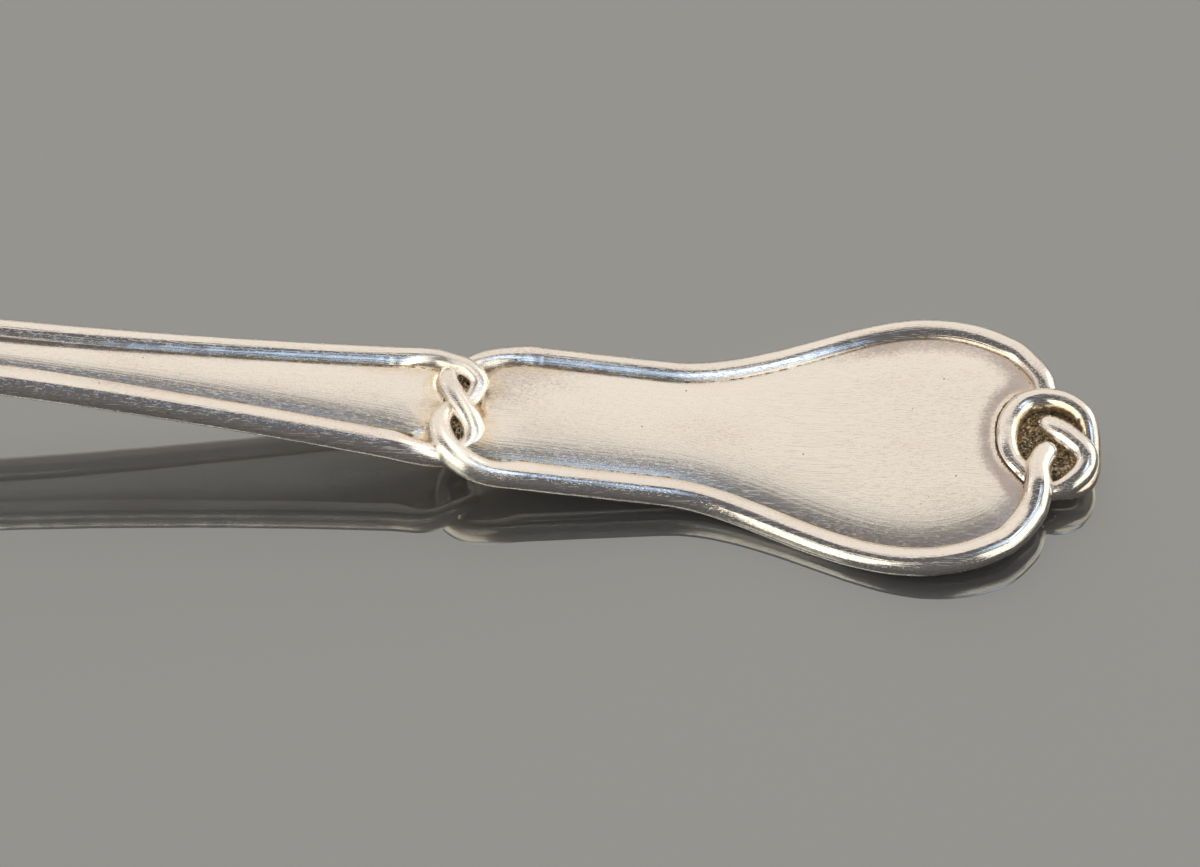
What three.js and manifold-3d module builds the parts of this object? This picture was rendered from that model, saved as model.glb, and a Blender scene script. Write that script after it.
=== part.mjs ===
// Sugar sifter spoon: a pierced round bowl on a flat silver handle whose edges are round cords.
// The cords cross in a twist at the waist of the handle and tie in a knot at its tip.
// Millimetres, +Z up. The spoon lies bowl up with its handle along +X, and the origin is the
// middle of the flat under the bowl. Left is +Y, as seen from the bowl towards the tip.
import * as THREE from 'three';
import { mergeVertices } from 'three/addons/utils/BufferGeometryUtils.js';
import Module from 'manifold-3d';

const wasm = await Module();
wasm.setup();

// Bowl
const BOWL_DIAMETER = 50;
const BOWL_DEPTH = 15.7;
const BOWL_WALL = 1.1;
const BASE_DIAMETER = 9.6;

// Piercing, with places measured up the wall from the edge of the flat base
const INNER_HOLES = 8;
const INNER_HOLE_DIAMETER = 1.8;
const INNER_HOLES_AT = 2.6;
const PETALS = 8;
const PETAL_LENGTH = 7.2;
const PETAL_WIDTH = 3.3;
const PETALS_AT = 8.6;
const MIDDLE_HOLES = 8;
const MIDDLE_HOLE_DIAMETER = 2.2;
const MIDDLE_HOLES_AT = 10.6;
const OUTER_HOLES = 24;
const OUTER_HOLE_DIAMETER = 1.6;
const OUTER_HOLES_AT = 16.4;

// Drop: the tongue under the bowl that carries the handle
const DROP_LENGTH = 10.5;
const DROP_WIDTH = 6;
const DROP_THICKNESS = 1.4;

// Handle, with places measured along it from the middle of the waist
const STEM_LENGTH = 74.6;
const STEM_FLARE_LENGTH = 44.6;
const STEM_CORD_SPACING = 4.4;
const WAIST_CORD_SPACING = 9;
const PALETTE_NECK_SPACING = 11;
const PALETTE_NECK_AT = 15.4;
const PALETTE_CORD_SPACING = 21.3;
const PALETTE_WIDEST_AT = 34.9;
const PALETTE_END_LENGTH = 11.2;
const REST_AT = 26.4;
const REST_BEND = 5;
const TIP_RISE = 0.12;
const PANEL_THICKNESS = 1.2;

// Cords: the edges, the twist at the waist and the knot at the tip
const CORD_DIAMETER = 1.9;
const TWIST_DIAMETER = 1.6;
const KNOT_DIAMETER = 1.5;
const TWIST_REACH = 6;
const TWIST_EYE = 1.4;
const TWIST_END_INSET = 0.19;
const KNOT_LENGTH = 6.7;
const KNOT_WIDTH = 7.7;
const KNOT_FROM_END = 1.8;

// Clearances between pieces that are soldered on the real spoon
const SOLDER_GAP = 0.2;
const CROSSING_GAP = 0.15;
const TWIST_CROSSING_GAP = 0.32;
const HOLE_MARGIN = 0.3;

// Fineness of the facets
const BOWL_FACETS = 64;
const WALL_STEPS = 9;
const CORD_FACETS = 8;
const CORD_STEP = 1.5;
const TWIST_STEP = 0.7;
const HOLE_CURVE_SEGMENTS = 5;
const DROP_CURVE_SEGMENTS = 10;
const KNOT_FACETS = 48;
const SAME_POINT_WITHIN = 1e-4;

// Values that follow from the sizes above
const BOWL_RADIUS = BOWL_DIAMETER / 2;
const BASE_RADIUS = BASE_DIAMETER / 2;
const WALL_SPREAD = BOWL_RADIUS - BASE_RADIUS;
const WALL_RADIUS = (WALL_SPREAD ** 2 + BOWL_DEPTH ** 2) / (2 * BOWL_DEPTH);
const HOLE_CUT_DEPTH = 3 * BOWL_WALL;
const DROP_TIP_X = BOWL_RADIUS - DROP_LENGTH;
const CORD_RADIUS = CORD_DIAMETER / 2;
const WAIST_X = BOWL_RADIUS + STEM_LENGTH;
const REST_X = WAIST_X + REST_AT;
const NECK_X = WAIST_X + PALETTE_NECK_AT;
const WIDEST_X = WAIST_X + PALETTE_WIDEST_AT;
const END_X = WIDEST_X + PALETTE_END_LENGTH;
const KNOT_X = END_X - KNOT_FROM_END;

// The cords touch the table at REST_X, and the stem climbs from there to lie flush with the rim.
const JOINT_HEIGHT = BOWL_DEPTH - CORD_RADIUS;

function bend(x) {
  const along = x - REST_X;
  const rounded = Math.hypot(along, REST_BEND) - REST_BEND;
  return { towardsBowl: (rounded - along) / 2, towardsTip: (rounded + along) / 2 };
}

const jointBend = bend(BOWL_RADIUS);
const STEM_FALL = (JOINT_HEIGHT - CORD_RADIUS - TIP_RISE * jointBend.towardsTip) / jointBend.towardsBowl;

function handleHeight(x) {
  const { towardsBowl, towardsTip } = bend(x);
  return CORD_RADIUS + STEM_FALL * towardsBowl + TIP_RISE * towardsTip;
}

function onHandle(x, y, lift = 0) {
  return new THREE.Vector3(x, y, handleHeight(x) + lift);
}

// Plan of the edge cords' middle line, on the left side

function stemEdge(x) {
  const flared = Math.max(0, 1 - (WAIST_X - x) / STEM_FLARE_LENGTH);
  const spacing = STEM_CORD_SPACING + (WAIST_CORD_SPACING - STEM_CORD_SPACING) * flared ** 2;
  return new THREE.Vector2(x, spacing / 2);
}

function paletteSideEdge(x) {
  const swell = THREE.MathUtils.smoothstep(x, NECK_X, WIDEST_X);
  const spacing = THREE.MathUtils.lerp(PALETTE_NECK_SPACING, PALETTE_CORD_SPACING, swell);
  return new THREE.Vector2(x, spacing / 2);
}

function paletteEndEdge(angle) {
  const x = WIDEST_X + PALETTE_END_LENGTH * Math.cos(angle);
  return new THREE.Vector2(x, (PALETTE_CORD_SPACING / 2) * Math.sin(angle));
}

function spaced(from, to, step) {
  const count = Math.max(1, Math.round(Math.abs(to - from) / step));
  return Array.from({ length: count + 1 }, (_, i) => from + ((to - from) * i) / count);
}

const PALETTE_END_STEP = CORD_STEP / PALETTE_END_LENGTH;

function stemEdgeLine(fromX, toX) {
  return spaced(fromX, toX, CORD_STEP).map(stemEdge);
}

function paletteEdgeLine(fromX, endAngle) {
  const side = spaced(fromX, WIDEST_X, CORD_STEP).map(paletteSideEdge);
  const end = spaced(Math.PI / 2, endAngle, PALETTE_END_STEP).map(paletteEndEdge);
  return [...side, ...end.slice(1)];
}

// Closed meshes and solids

function closedGeometry(geometry) {
  geometry.deleteAttribute('normal');
  geometry.deleteAttribute('uv');
  const merged = mergeVertices(geometry, SAME_POINT_WITHIN);
  const kept = [];
  for (let i = 0; i < merged.index.count; i += 3) {
    const corners = [0, 1, 2].map((k) => merged.index.getX(i + k));
    if (new Set(corners).size === 3) kept.push(...corners);
  }
  merged.setIndex(kept);
  return merged;
}

function solidOf(geometry) {
  const closed = closedGeometry(geometry);
  const vertProperties = new Float32Array(closed.attributes.position.array);
  const triVerts = new Uint32Array(closed.index.array);
  return new wasm.Manifold(new wasm.Mesh({ numProp: 3, vertProperties, triVerts }));
}

function geometryOf(solid) {
  const mesh = solid.getMesh();
  const geometry = new THREE.BufferGeometry();
  geometry.setAttribute('position', new THREE.BufferAttribute(mesh.vertProperties, 3));
  geometry.setIndex(new THREE.BufferAttribute(mesh.triVerts, 1));
  return geometry;
}

function circle(diameter) {
  return new THREE.Shape().absarc(0, 0, diameter / 2, 0, 2 * Math.PI);
}

// A round cord along a route, with its ends cut square
function cordGeometry(route, diameter, step) {
  const extrudePath = new THREE.CatmullRomCurve3(route);
  const steps = Math.ceil(extrudePath.getLength() / step);
  const curveSegments = CORD_FACETS / 2;
  return new THREE.ExtrudeGeometry(circle(diameter), { extrudePath, steps, curveSegments });
}

// A plate of even thickness between a left edge line and its mirror image
function plateGeometry(edge) {
  const half = PANEL_THICKNESS / 2;
  const points = edge.flatMap(({ x, y }) => [
    onHandle(x, y, half),
    onHandle(x, -y, half),
    onHandle(x, -y, -half),
    onHandle(x, y, -half),
  ]);
  const index = [0, 2, 1, 0, 3, 2];
  for (let i = 0; i < edge.length - 1; i += 1) {
    for (let k = 0; k < 4; k += 1) {
      const a = 4 * i + k;
      const b = 4 * i + ((k + 1) % 4);
      index.push(a, b, a + 4, b, b + 4, a + 4);
    }
  }
  const last = 4 * (edge.length - 1);
  index.push(last, last + 1, last + 2, last, last + 2, last + 3);
  const geometry = new THREE.BufferGeometry().setFromPoints(points);
  geometry.setIndex(index);
  return geometry;
}

// The line at a set distance inside an edge line
function insideLine(edge, distance) {
  return edge.map((point, i) => {
    const before = edge[Math.max(0, i - 1)];
    const after = edge[Math.min(edge.length - 1, i + 1)];
    const along = after.clone().sub(before).normalize();
    return new THREE.Vector2(point.x + along.y * distance, point.y - along.x * distance);
  });
}

// Bowl: a flat base and a wall that is an arc of a circle

function wallPoint(angle, outside) {
  const radius = WALL_RADIUS + outside;
  return new THREE.Vector2(BASE_RADIUS + radius * Math.sin(angle), WALL_RADIUS - radius * Math.cos(angle));
}

// The wall line, moved out by a distance and ended level with the rim
function wallLine(outside) {
  const rimAngle = Math.acos((WALL_RADIUS - BOWL_DEPTH) / (WALL_RADIUS + outside));
  return spaced(0, rimAngle, rimAngle / WALL_STEPS).map((angle) => wallPoint(angle, outside));
}

function turned(profile) {
  return new THREE.LatheGeometry(profile, BOWL_FACETS).rotateX(Math.PI / 2);
}

// The bowl's outside filled up to a level and grown by a distance
function bowlBody(grown, level) {
  const wall = wallLine(grown);
  const rim = wall.at(-1);
  return solidOf(turned([
    new THREE.Vector2(0, -grown),
    ...wall,
    new THREE.Vector2(rim.x, level),
    new THREE.Vector2(0, level),
  ]));
}

function bowlShell() {
  return solidOf(turned([
    new THREE.Vector2(0, 0),
    ...wallLine(0),
    ...wallLine(-BOWL_WALL).reverse(),
    new THREE.Vector2(0, BOWL_WALL),
  ]));
}

// A petal points to the middle of the bowl and is round at its outer end.
function petalHole() {
  const radius = PETAL_WIDTH / 2;
  const roundAt = PETAL_LENGTH / 2 - radius;
  const outline = new THREE.Shape().moveTo(-PETAL_LENGTH / 2, 0);
  return outline.lineTo(roundAt, -radius).absarc(roundAt, 0, radius, -Math.PI / 2, Math.PI / 2);
}

function holePlace(at, turn) {
  const angle = at / WALL_RADIUS;
  const spot = wallPoint(angle, BOWL_WALL);
  const upWall = new THREE.Vector3(Math.cos(angle), 0, Math.sin(angle));
  const around = new THREE.Vector3(0, 1, 0);
  const inwards = new THREE.Vector3(-Math.sin(angle), 0, Math.cos(angle));
  const place = new THREE.Matrix4().makeBasis(upWall, around, inwards);
  place.setPosition(spot.x, 0, spot.y);
  return new THREE.Matrix4().makeRotationZ(turn).multiply(place);
}

// Holes stay out of the strip of wall that the drop is soldered to.
function clearOfDrop(place, width) {
  const spot = new THREE.Vector3().setFromMatrixPosition(place);
  const besideDrop = Math.abs(spot.y) > (DROP_WIDTH + width) / 2 + HOLE_MARGIN;
  return besideDrop || spot.x < DROP_TIP_X - width;
}

function holeRing(shape, width, at, count, firstTurn) {
  const cutter = { depth: HOLE_CUT_DEPTH, bevelEnabled: false, curveSegments: HOLE_CURVE_SEGMENTS };
  const turns = Array.from({ length: count }, (_, i) => firstTurn + (2 * Math.PI * i) / count);
  return turns
    .map((turn) => holePlace(at, turn))
    .filter((place) => clearOfDrop(place, width))
    .map((place) => solidOf(new THREE.ExtrudeGeometry(shape, cutter).applyMatrix4(place)));
}

function roundHoleRing(diameter, at, count, firstTurn) {
  return holeRing(circle(diameter), diameter, at, count, firstTurn);
}

function sifterBowl() {
  const halfPetalTurn = Math.PI / PETALS;
  const halfOuterTurn = Math.PI / OUTER_HOLES;
  const holes = [
    ...roundHoleRing(INNER_HOLE_DIAMETER, INNER_HOLES_AT, INNER_HOLES, 0),
    ...holeRing(petalHole(), PETAL_WIDTH, PETALS_AT, PETALS, halfPetalTurn),
    ...roundHoleRing(MIDDLE_HOLE_DIAMETER, MIDDLE_HOLES_AT, MIDDLE_HOLES, 0),
    ...roundHoleRing(OUTER_HOLE_DIAMETER, OUTER_HOLES_AT, OUTER_HOLES, halfOuterTurn),
  ];
  return geometryOf(holes.reduce((bowl, hole) => bowl.subtract(hole), bowlShell()));
}

// The drop follows the outside of the bowl from just under the stem to a rounded point.
function bowlDrop() {
  const top = JOINT_HEIGHT - CORD_RADIUS - SOLDER_GAP;
  const heel = BOWL_RADIUS + DROP_THICKNESS;
  const half = DROP_WIDTH / 2;
  const outline = new THREE.Shape().moveTo(heel, -half);
  outline.lineTo(heel, half);
  outline.quadraticCurveTo(DROP_TIP_X + half, half, DROP_TIP_X, 0);
  outline.quadraticCurveTo(DROP_TIP_X + half, -half, heel, -half);
  const raised = { depth: top, bevelEnabled: false, curveSegments: DROP_CURVE_SEGMENTS };
  const block = new THREE.ExtrudeGeometry(outline, raised);
  const outside = bowlBody(SOLDER_GAP + DROP_THICKNESS, BOWL_DEPTH);
  const tongue = solidOf(block).intersect(outside);
  return geometryOf(tongue.subtract(bowlBody(SOLDER_GAP, BOWL_DEPTH)));
}

// Waist twist: each strand runs from one side of the stem to the other side of the palette.
// A point gives shares of the twist's half length and half width, and the lift above the handle's middle.
const TWIST_HALF_LENGTH = (TWIST_DIAMETER + TWIST_EYE) / 2;
const TWIST_HALF_WIDTH = WAIST_CORD_SPACING / 2;
const TWIST_OVER = TWIST_DIAMETER / 3;
const TWIST_UNDER = TWIST_OVER - TWIST_DIAMETER - TWIST_CROSSING_GAP;
const TWIST_END_SHARE = (PALETTE_NECK_SPACING - 2 * TWIST_END_INSET) / WAIST_CORD_SPACING;

function twistRoute(stemSide, points) {
  const start = stemEdge(WAIST_X - TWIST_REACH);
  const end = paletteSideEdge(WAIST_X + TWIST_REACH);
  const middle = points.map(([x, y, lift]) => (
    onHandle(WAIST_X + x * TWIST_HALF_LENGTH, y * TWIST_HALF_WIDTH, lift)
  ));
  return [onHandle(start.x, stemSide * start.y), ...middle, onHandle(end.x, -stemSide * end.y)];
}

const twistFromLeft = twistRoute(1, [
  [-2, 0.95, 0.1],
  [-0.67, 0.86, TWIST_OVER],
  [0.27, 0.71, TWIST_OVER],
  [1, 0.47, -0.1],
  [0.6, 0.24, TWIST_UNDER / 1.5],
  [0, 0.1, TWIST_UNDER],
  [-0.6, -0.04, TWIST_UNDER / 1.5],
  [-1, -0.33, -0.1],
  [-0.73, -0.64, TWIST_OVER],
  [0.27, -0.89, TWIST_OVER],
  [2, -TWIST_END_SHARE, 0.1],
]);

const twistFromRight = twistRoute(-1, [
  [-2.1, -0.95, -0.3],
  [-0.8, -0.96, TWIST_UNDER / 1.2],
  [0.07, -0.8, TWIST_UNDER],
  [0.67, -0.58, TWIST_UNDER / 1.5],
  [0.83, -0.36, 0],
  [0.47, -0.09, TWIST_OVER],
  [-0.4, 0.29, TWIST_OVER],
  [-0.83, 0.49, -0.2],
  [-0.73, 0.69, TWIST_UNDER / 1.2],
  [-0.33, 0.87, TWIST_UNDER],
  [0.47, 1.04, TWIST_UNDER / 1.2],
  [2, TWIST_END_SHARE, -0.2],
]);

// Tip knot: a point gives shares of the knot's half length and half width, and the lift, as in the twist.
const KNOT_OVER = KNOT_DIAMETER / 3;
const KNOT_UNDER = KNOT_OVER - (CORD_DIAMETER + KNOT_DIAMETER) / 2 - CROSSING_GAP;

function knotRoute(points) {
  return points.map(([x, y, lift]) => onHandle(KNOT_X + (x * KNOT_LENGTH) / 2, (y * KNOT_WIDTH) / 2, lift));
}

const loopRoute = knotRoute([
  [-0.45, -0.86, KNOT_UNDER],
  [-0.75, -0.57, KNOT_UNDER / 2],
  [-1, -0.18, 0.1],
  [-1, 0.23, 0.3],
  [-0.78, 0.68, KNOT_OVER],
  [-0.39, 0.94, KNOT_OVER],
  [0.09, 1, KNOT_OVER],
  [0.54, 0.88, 0.4],
  [0.87, 0.65, 0],
  [0.99, 0.34, KNOT_UNDER / 2],
  [0.81, 0, KNOT_UNDER],
]);

const hookRoute = knotRoute([
  [0.05, 1.2, KNOT_UNDER],
  [0, 0.94, KNOT_UNDER],
  [-0.06, 0.65, KNOT_UNDER / 2],
  [0, 0.42, 0.1],
  [0.24, 0.18, KNOT_OVER],
  [0.54, -0.05, KNOT_OVER],
  [0.81, -0.29, KNOT_OVER],
  [0.93, -0.57, 0.3],
  [0.81, -0.86, 0.1],
  [0.51, -1.01, -0.3],
  [0.27, -1.09, KNOT_UNDER / 1.7],
  [0.03, -1.12, KNOT_UNDER],
]);

// The left cord ends under the loop. The right cord leaves the palette's edge and climbs over the knot.
const leftEnd = knotRoute([[0.03, 1.46, KNOT_UNDER]]);
const rightEnd = knotRoute([
  [-0.45, -1.74, 0.2],
  [-0.33, -1.38, KNOT_OVER],
  [-0.28, -0.99, KNOT_OVER],
  [-0.24, -0.62, 0.2],
  [-0.09, -0.29, KNOT_UNDER / 2.5],
  [0.18, 0, KNOT_UNDER],
]);

// Angles round the palette's end where the cords leave its edge for the knot
const LEFT_END_ANGLE = 0.64;
const RIGHT_END_ANGLE = 0.95;

function paletteRoute(side, endAngle, end) {
  const edge = paletteEdgeLine(WAIST_X + TWIST_REACH + SOLDER_GAP, endAngle);
  return [...edge.map(({ x, y }) => onHandle(x, side * y)), ...end];
}

const leftRoute = paletteRoute(1, LEFT_END_ANGLE, leftEnd);
const rightRoute = paletteRoute(-1, RIGHT_END_ANGLE, rightEnd);

// Handle pieces that end on the bowl are cut to its outside.
const bowlSpace = bowlBody(SOLDER_GAP, BOWL_DEPTH + CORD_DIAMETER);
const STEM_START_X = BOWL_RADIUS - CORD_DIAMETER;

function stemCord(side) {
  const edge = stemEdgeLine(STEM_START_X, WAIST_X - TWIST_REACH - SOLDER_GAP);
  const route = edge.map(({ x, y }) => onHandle(x, side * y));
  return geometryOf(solidOf(cordGeometry(route, CORD_DIAMETER, 2 * CORD_STEP)).subtract(bowlSpace));
}

// Panels lie between the edge cords and are cut away where a strand passes.
const PANEL_INSET = CORD_RADIUS + CROSSING_GAP;
const PANEL_TO_WAIST = TWIST_HALF_LENGTH + TWIST_DIAMETER / 2 + SOLDER_GAP;
const KNOT_CUT_HEIGHT = 4 * CORD_DIAMETER;
const RIGHT_END_POINTS = rightEnd.length + 2;

function strandSpace(route, diameter) {
  return solidOf(cordGeometry(route, diameter + 2 * SOLDER_GAP, TWIST_STEP));
}

const twistSpaces = [twistFromLeft, twistFromRight].map((route) => strandSpace(route, TWIST_DIAMETER));

function panel(edge, spaces) {
  const plate = solidOf(plateGeometry(insideLine(edge, PANEL_INSET)));
  return geometryOf(spaces.reduce((left, space) => left.subtract(space), plate));
}

function stemPanel() {
  const edge = stemEdgeLine(STEM_START_X, WAIST_X - PANEL_TO_WAIST);
  return panel(edge, [bowlSpace, ...twistSpaces]);
}

// The palette's panel stops at the knot, which fills the end of the handle.
function palettePanel() {
  const edge = paletteEdgeLine(WAIST_X + PANEL_TO_WAIST, LEFT_END_ANGLE);
  const reach = (KNOT_LENGTH + KNOT_DIAMETER) / 2 + SOLDER_GAP;
  const knotSpace = new THREE.CylinderGeometry(reach, reach, KNOT_CUT_HEIGHT, KNOT_FACETS);
  knotSpace.rotateX(Math.PI / 2).translate(KNOT_X, 0, handleHeight(KNOT_X));
  const loopSpace = strandSpace(loopRoute, KNOT_DIAMETER);
  const rightSpace = strandSpace(rightRoute.slice(-RIGHT_END_POINTS), CORD_DIAMETER);
  return panel(edge, [...twistSpaces, solidOf(knotSpace), loopSpace, rightSpace]);
}

// Finishes
const silver = { color: 0xc9bdb0, roughness: 0.28, metalness: 1 };
const polished = { color: 0xd8d2c8, roughness: 0.16, metalness: 1 };

function piece(name, geometry, finish) {
  const mesh = new THREE.Mesh(geometry, new THREE.MeshStandardMaterial(finish));
  mesh.name = name;
  return mesh;
}

const spoon = new THREE.Group();
spoon.add(
  piece('sifter_bowl', sifterBowl(), silver),
  piece('bowl_drop', bowlDrop(), silver),
  piece('stem_panel', stemPanel(), silver),
  piece('stem_cord_left', stemCord(1), polished),
  piece('stem_cord_right', stemCord(-1), polished),
  piece('waist_strand_from_left', cordGeometry(twistFromLeft, TWIST_DIAMETER, TWIST_STEP), polished),
  piece('waist_strand_from_right', cordGeometry(twistFromRight, TWIST_DIAMETER, TWIST_STEP), polished),
  piece('palette_panel', palettePanel(), silver),
  piece('palette_cord_left', cordGeometry(leftRoute, CORD_DIAMETER, CORD_STEP), polished),
  piece('palette_cord_right', cordGeometry(rightRoute, CORD_DIAMETER, CORD_STEP), polished),
  piece('tip_loop', cordGeometry(loopRoute, KNOT_DIAMETER, TWIST_STEP), polished),
  piece('tip_hook', cordGeometry(hookRoute, KNOT_DIAMETER, TWIST_STEP), polished),
);

export default spoon;
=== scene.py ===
# %% [markdown]
# # A silver sugar sifter spoon
# The spoon has a pierced bowl and a flat handle. Round cords edge the handle, cross in a twist at its waist
# and tie in a knot at its tip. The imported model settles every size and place, and the looks are built to
# match it.

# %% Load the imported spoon
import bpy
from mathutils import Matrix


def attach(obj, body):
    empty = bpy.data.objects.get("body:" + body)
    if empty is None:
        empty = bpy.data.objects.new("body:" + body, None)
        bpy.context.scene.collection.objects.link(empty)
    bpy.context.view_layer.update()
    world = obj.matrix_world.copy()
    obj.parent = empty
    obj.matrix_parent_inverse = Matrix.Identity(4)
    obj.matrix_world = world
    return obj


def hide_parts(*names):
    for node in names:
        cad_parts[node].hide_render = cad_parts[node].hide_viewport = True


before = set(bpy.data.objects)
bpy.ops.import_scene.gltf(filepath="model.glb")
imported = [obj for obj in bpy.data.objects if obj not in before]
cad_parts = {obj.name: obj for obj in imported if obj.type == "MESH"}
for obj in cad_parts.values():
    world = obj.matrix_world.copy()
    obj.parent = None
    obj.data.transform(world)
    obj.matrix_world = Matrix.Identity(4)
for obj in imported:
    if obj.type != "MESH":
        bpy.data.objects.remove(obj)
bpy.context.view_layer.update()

import math

import bmesh
import bpy
import numpy as np
from mathutils import Vector, noise
from mathutils.geometry import delaunay_2d_cdt

print("nodes", sorted(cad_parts))

# %% [markdown]
# ## Camera
# A long lens looks down on the handle at 55 degrees, and the bowl stays outside the picture on the left.
# Moving a wide lens closer would fill the frame as well, but it would spread the palette.

# %% Camera
MM = 0.001
VIEW_TURN = math.radians(2.36)
VIEW_HEIGHT = math.radians(55)
VIEW_TARGET = Vector((110.2, -0.954, 3.0)) * MM
VIEW_DISTANCE = 330 * MM
towards_lens = Vector((
    math.sin(VIEW_TURN) * math.cos(VIEW_HEIGHT),
    -math.cos(VIEW_TURN) * math.cos(VIEW_HEIGHT),
    math.sin(VIEW_HEIGHT),
))
camera = bpy.data.objects.new("camera", bpy.data.cameras.new("camera"))
camera.data.sensor_width = 36
camera.data.lens = 132
camera.data.clip_start = 0.01
camera.location = VIEW_TARGET + towards_lens * VIEW_DISTANCE
camera.rotation_euler = towards_lens.to_track_quat("Z", "Y").to_euler()
bpy.context.scene.collection.objects.link(camera)
bpy.context.scene.camera = camera
print("camera at", [round(v, 4) for v in camera.location])

# %% [markdown]
# ## Sizes
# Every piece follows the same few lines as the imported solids, so the sizes are named once, in millimetres.

# %% Sizes
BOWL_RADIUS = 25
BOWL_DEPTH = 15.7
BOWL_WALL = 1.1
BASE_RADIUS = 4.8
WALL_RADIUS = ((BOWL_RADIUS - BASE_RADIUS) ** 2 + BOWL_DEPTH ** 2) / (2 * BOWL_DEPTH)
CORD_RADIUS = 0.95
STEM_SPACING = 4.4
STEM_FLARE_LENGTH = 44.6
WAIST_SPACING = 9
NECK_SPACING = 11
PALETTE_SPACING = 21.3
PALETTE_END_LENGTH = 11.2
WAIST_X = 99.6
NECK_X = 115
REST_X = 126
WIDEST_X = 134.5
KNOT_X = 143.9
REST_BEND = 5
TIP_RISE = 0.12
print("bowl", 2 * BOWL_RADIUS, "mm, palette", PALETTE_SPACING + 2 * CORD_RADIUS, "mm over its cords")

# %% [markdown]
# ## The handle's lines
# The handle lies on the table under its palette, rises a little to the tip and climbs evenly to the rim of
# the bowl. Plain functions of the length give its height and its edges, so that plates and cords can't
# drift apart.

# %% The handle's lines
def bend(x):
    along = x - REST_X
    rounded = np.hypot(along, REST_BEND) - REST_BEND
    return (rounded - along) / 2, (rounded + along) / 2


joint_fall, joint_rise = bend(BOWL_RADIUS)
STEM_FALL = (BOWL_DEPTH - 2 * CORD_RADIUS - TIP_RISE * joint_rise) / joint_fall


def handle_height(x):
    fall, rise = bend(x)
    return CORD_RADIUS + STEM_FALL * fall + TIP_RISE * rise


def stem_edge(x):
    flared = np.clip(1 - (WAIST_X - x) / STEM_FLARE_LENGTH, 0, None)
    return (STEM_SPACING + (WAIST_SPACING - STEM_SPACING) * flared ** 2) / 2


def palette_side(x):
    share = np.clip((x - NECK_X) / (WIDEST_X - NECK_X), 0, 1)
    swell = share * share * (3 - 2 * share)
    return (NECK_SPACING + (PALETTE_SPACING - NECK_SPACING) * swell) / 2


def palette_edge(x):
    past = np.clip((x - WIDEST_X) / PALETTE_END_LENGTH, 0, 1)
    return palette_side(x) * np.sqrt(1 - past ** 2)


def on_handle(x, y, lift=0.0):
    x, y, lift = np.broadcast_arrays(x, y, lift)
    return np.stack([x, y, handle_height(x) + lift], -1)


def wire_points(x, y, lift, radius):
    x, y, lift, radius = np.broadcast_arrays(x, y, lift, radius)
    return np.column_stack([on_handle(x, y, lift), radius])


print("stem falls", round(float(STEM_FALL), 4), "per mm")

# %% [markdown]
# ## Routes of the cords
# A cord is drawn wire that a smith bends through a few points. A centripetal curve passes through every
# point without loops or overshoots, which a plain Bezier curve with automatic handles would give at tight
# bends.

# %% Smooth routes
ROUTE_SAMPLES = 24


def smooth_route(points, step):
    points = np.asarray(points, float)
    points = np.vstack([2 * points[0] - points[1], points, 2 * points[-1] - points[-2]])
    gaps = np.linalg.norm(np.diff(points, axis=0), axis=1) ** 0.5
    line = []
    for i in range(1, len(points) - 2):
        before, start, end, after = points[i - 1:i + 3]
        first, middle, last = gaps[i - 1:i + 2]
        leave = (start - before) / first - (end - before) / (first + middle) + (end - start) / middle
        arrive = (end - start) / middle - (after - start) / (middle + last) + (after - end) / last
        leave, arrive = leave * middle, arrive * middle
        t = np.linspace(0, 1, ROUTE_SAMPLES, endpoint=False)[:, None]
        curve = start + leave * t + (3 * (end - start) - 2 * leave - arrive) * t ** 2
        line.append(curve + (2 * (start - end) + leave + arrive) * t ** 3)
    line = np.vstack([*line, points[-2]])
    reach = np.concatenate([[0], np.cumsum(np.linalg.norm(np.diff(line, axis=0), axis=1))])
    even = np.linspace(0, reach[-1], max(2, round(reach[-1] / step)) + 1)
    return np.stack([np.interp(even, reach, line[:, k]) for k in range(line.shape[1])], -1)


# %% [markdown]
# ## Wrapping the routes
# A curve with a round bevel would give an even tube. Hand-drawn cords swell, thin and end in rounded tips,
# so rings of points are laid round the route instead, each with a radius of its own. Along a plate the cord
# isn't quite round: its inner flank runs out in a flatter curve, which a bevel couldn't give either.

# %% Cords: sections and thickness
CORD_FACETS = 36
CORD_TURN = np.linspace(0, 2 * math.pi, CORD_FACETS, endpoint=False)
FLANK_CURVE = 1.9
FLANK_REACH = 1.12
WANDER = 0.03
WANDER_LENGTH = 2.7
WANDER_ROW = (9.0, 4.2)


def travelled(line):
    return np.concatenate([[0], np.cumsum(np.linalg.norm(np.diff(line[:, :3], axis=0), axis=1))])


def ring_frames(line):
    tangents = np.gradient(line, axis=0)
    tangents /= np.linalg.norm(tangents, axis=1, keepdims=True)
    sides = np.cross(tangents, (0, 0, 1))
    sides /= np.linalg.norm(sides, axis=1, keepdims=True)
    return sides, np.cross(sides, tangents)


def cord_section(flank):
    side, up = np.cos(CORD_TURN)[None, :], np.sin(CORD_TURN)[None, :]
    flank = np.asarray(flank, float)[:, None]
    reach = FLANK_REACH * side
    level = np.sign(np.round(up, 6)) * (1 - FLANK_CURVE + np.sqrt(FLANK_CURVE ** 2 - reach ** 2))
    share = np.where(side * flank > 0, np.abs(flank), 0)
    return side + share * (reach - side), up + share * (level - up)


def hand_drawn(line):
    wander = [abs(noise.noise((reach / WANDER_LENGTH, *WANDER_ROW))) for reach in travelled(line)]
    return 1 - WANDER * np.array(wander)


# %% Cords: rings
TIP_LEAST = 0.02


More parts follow.
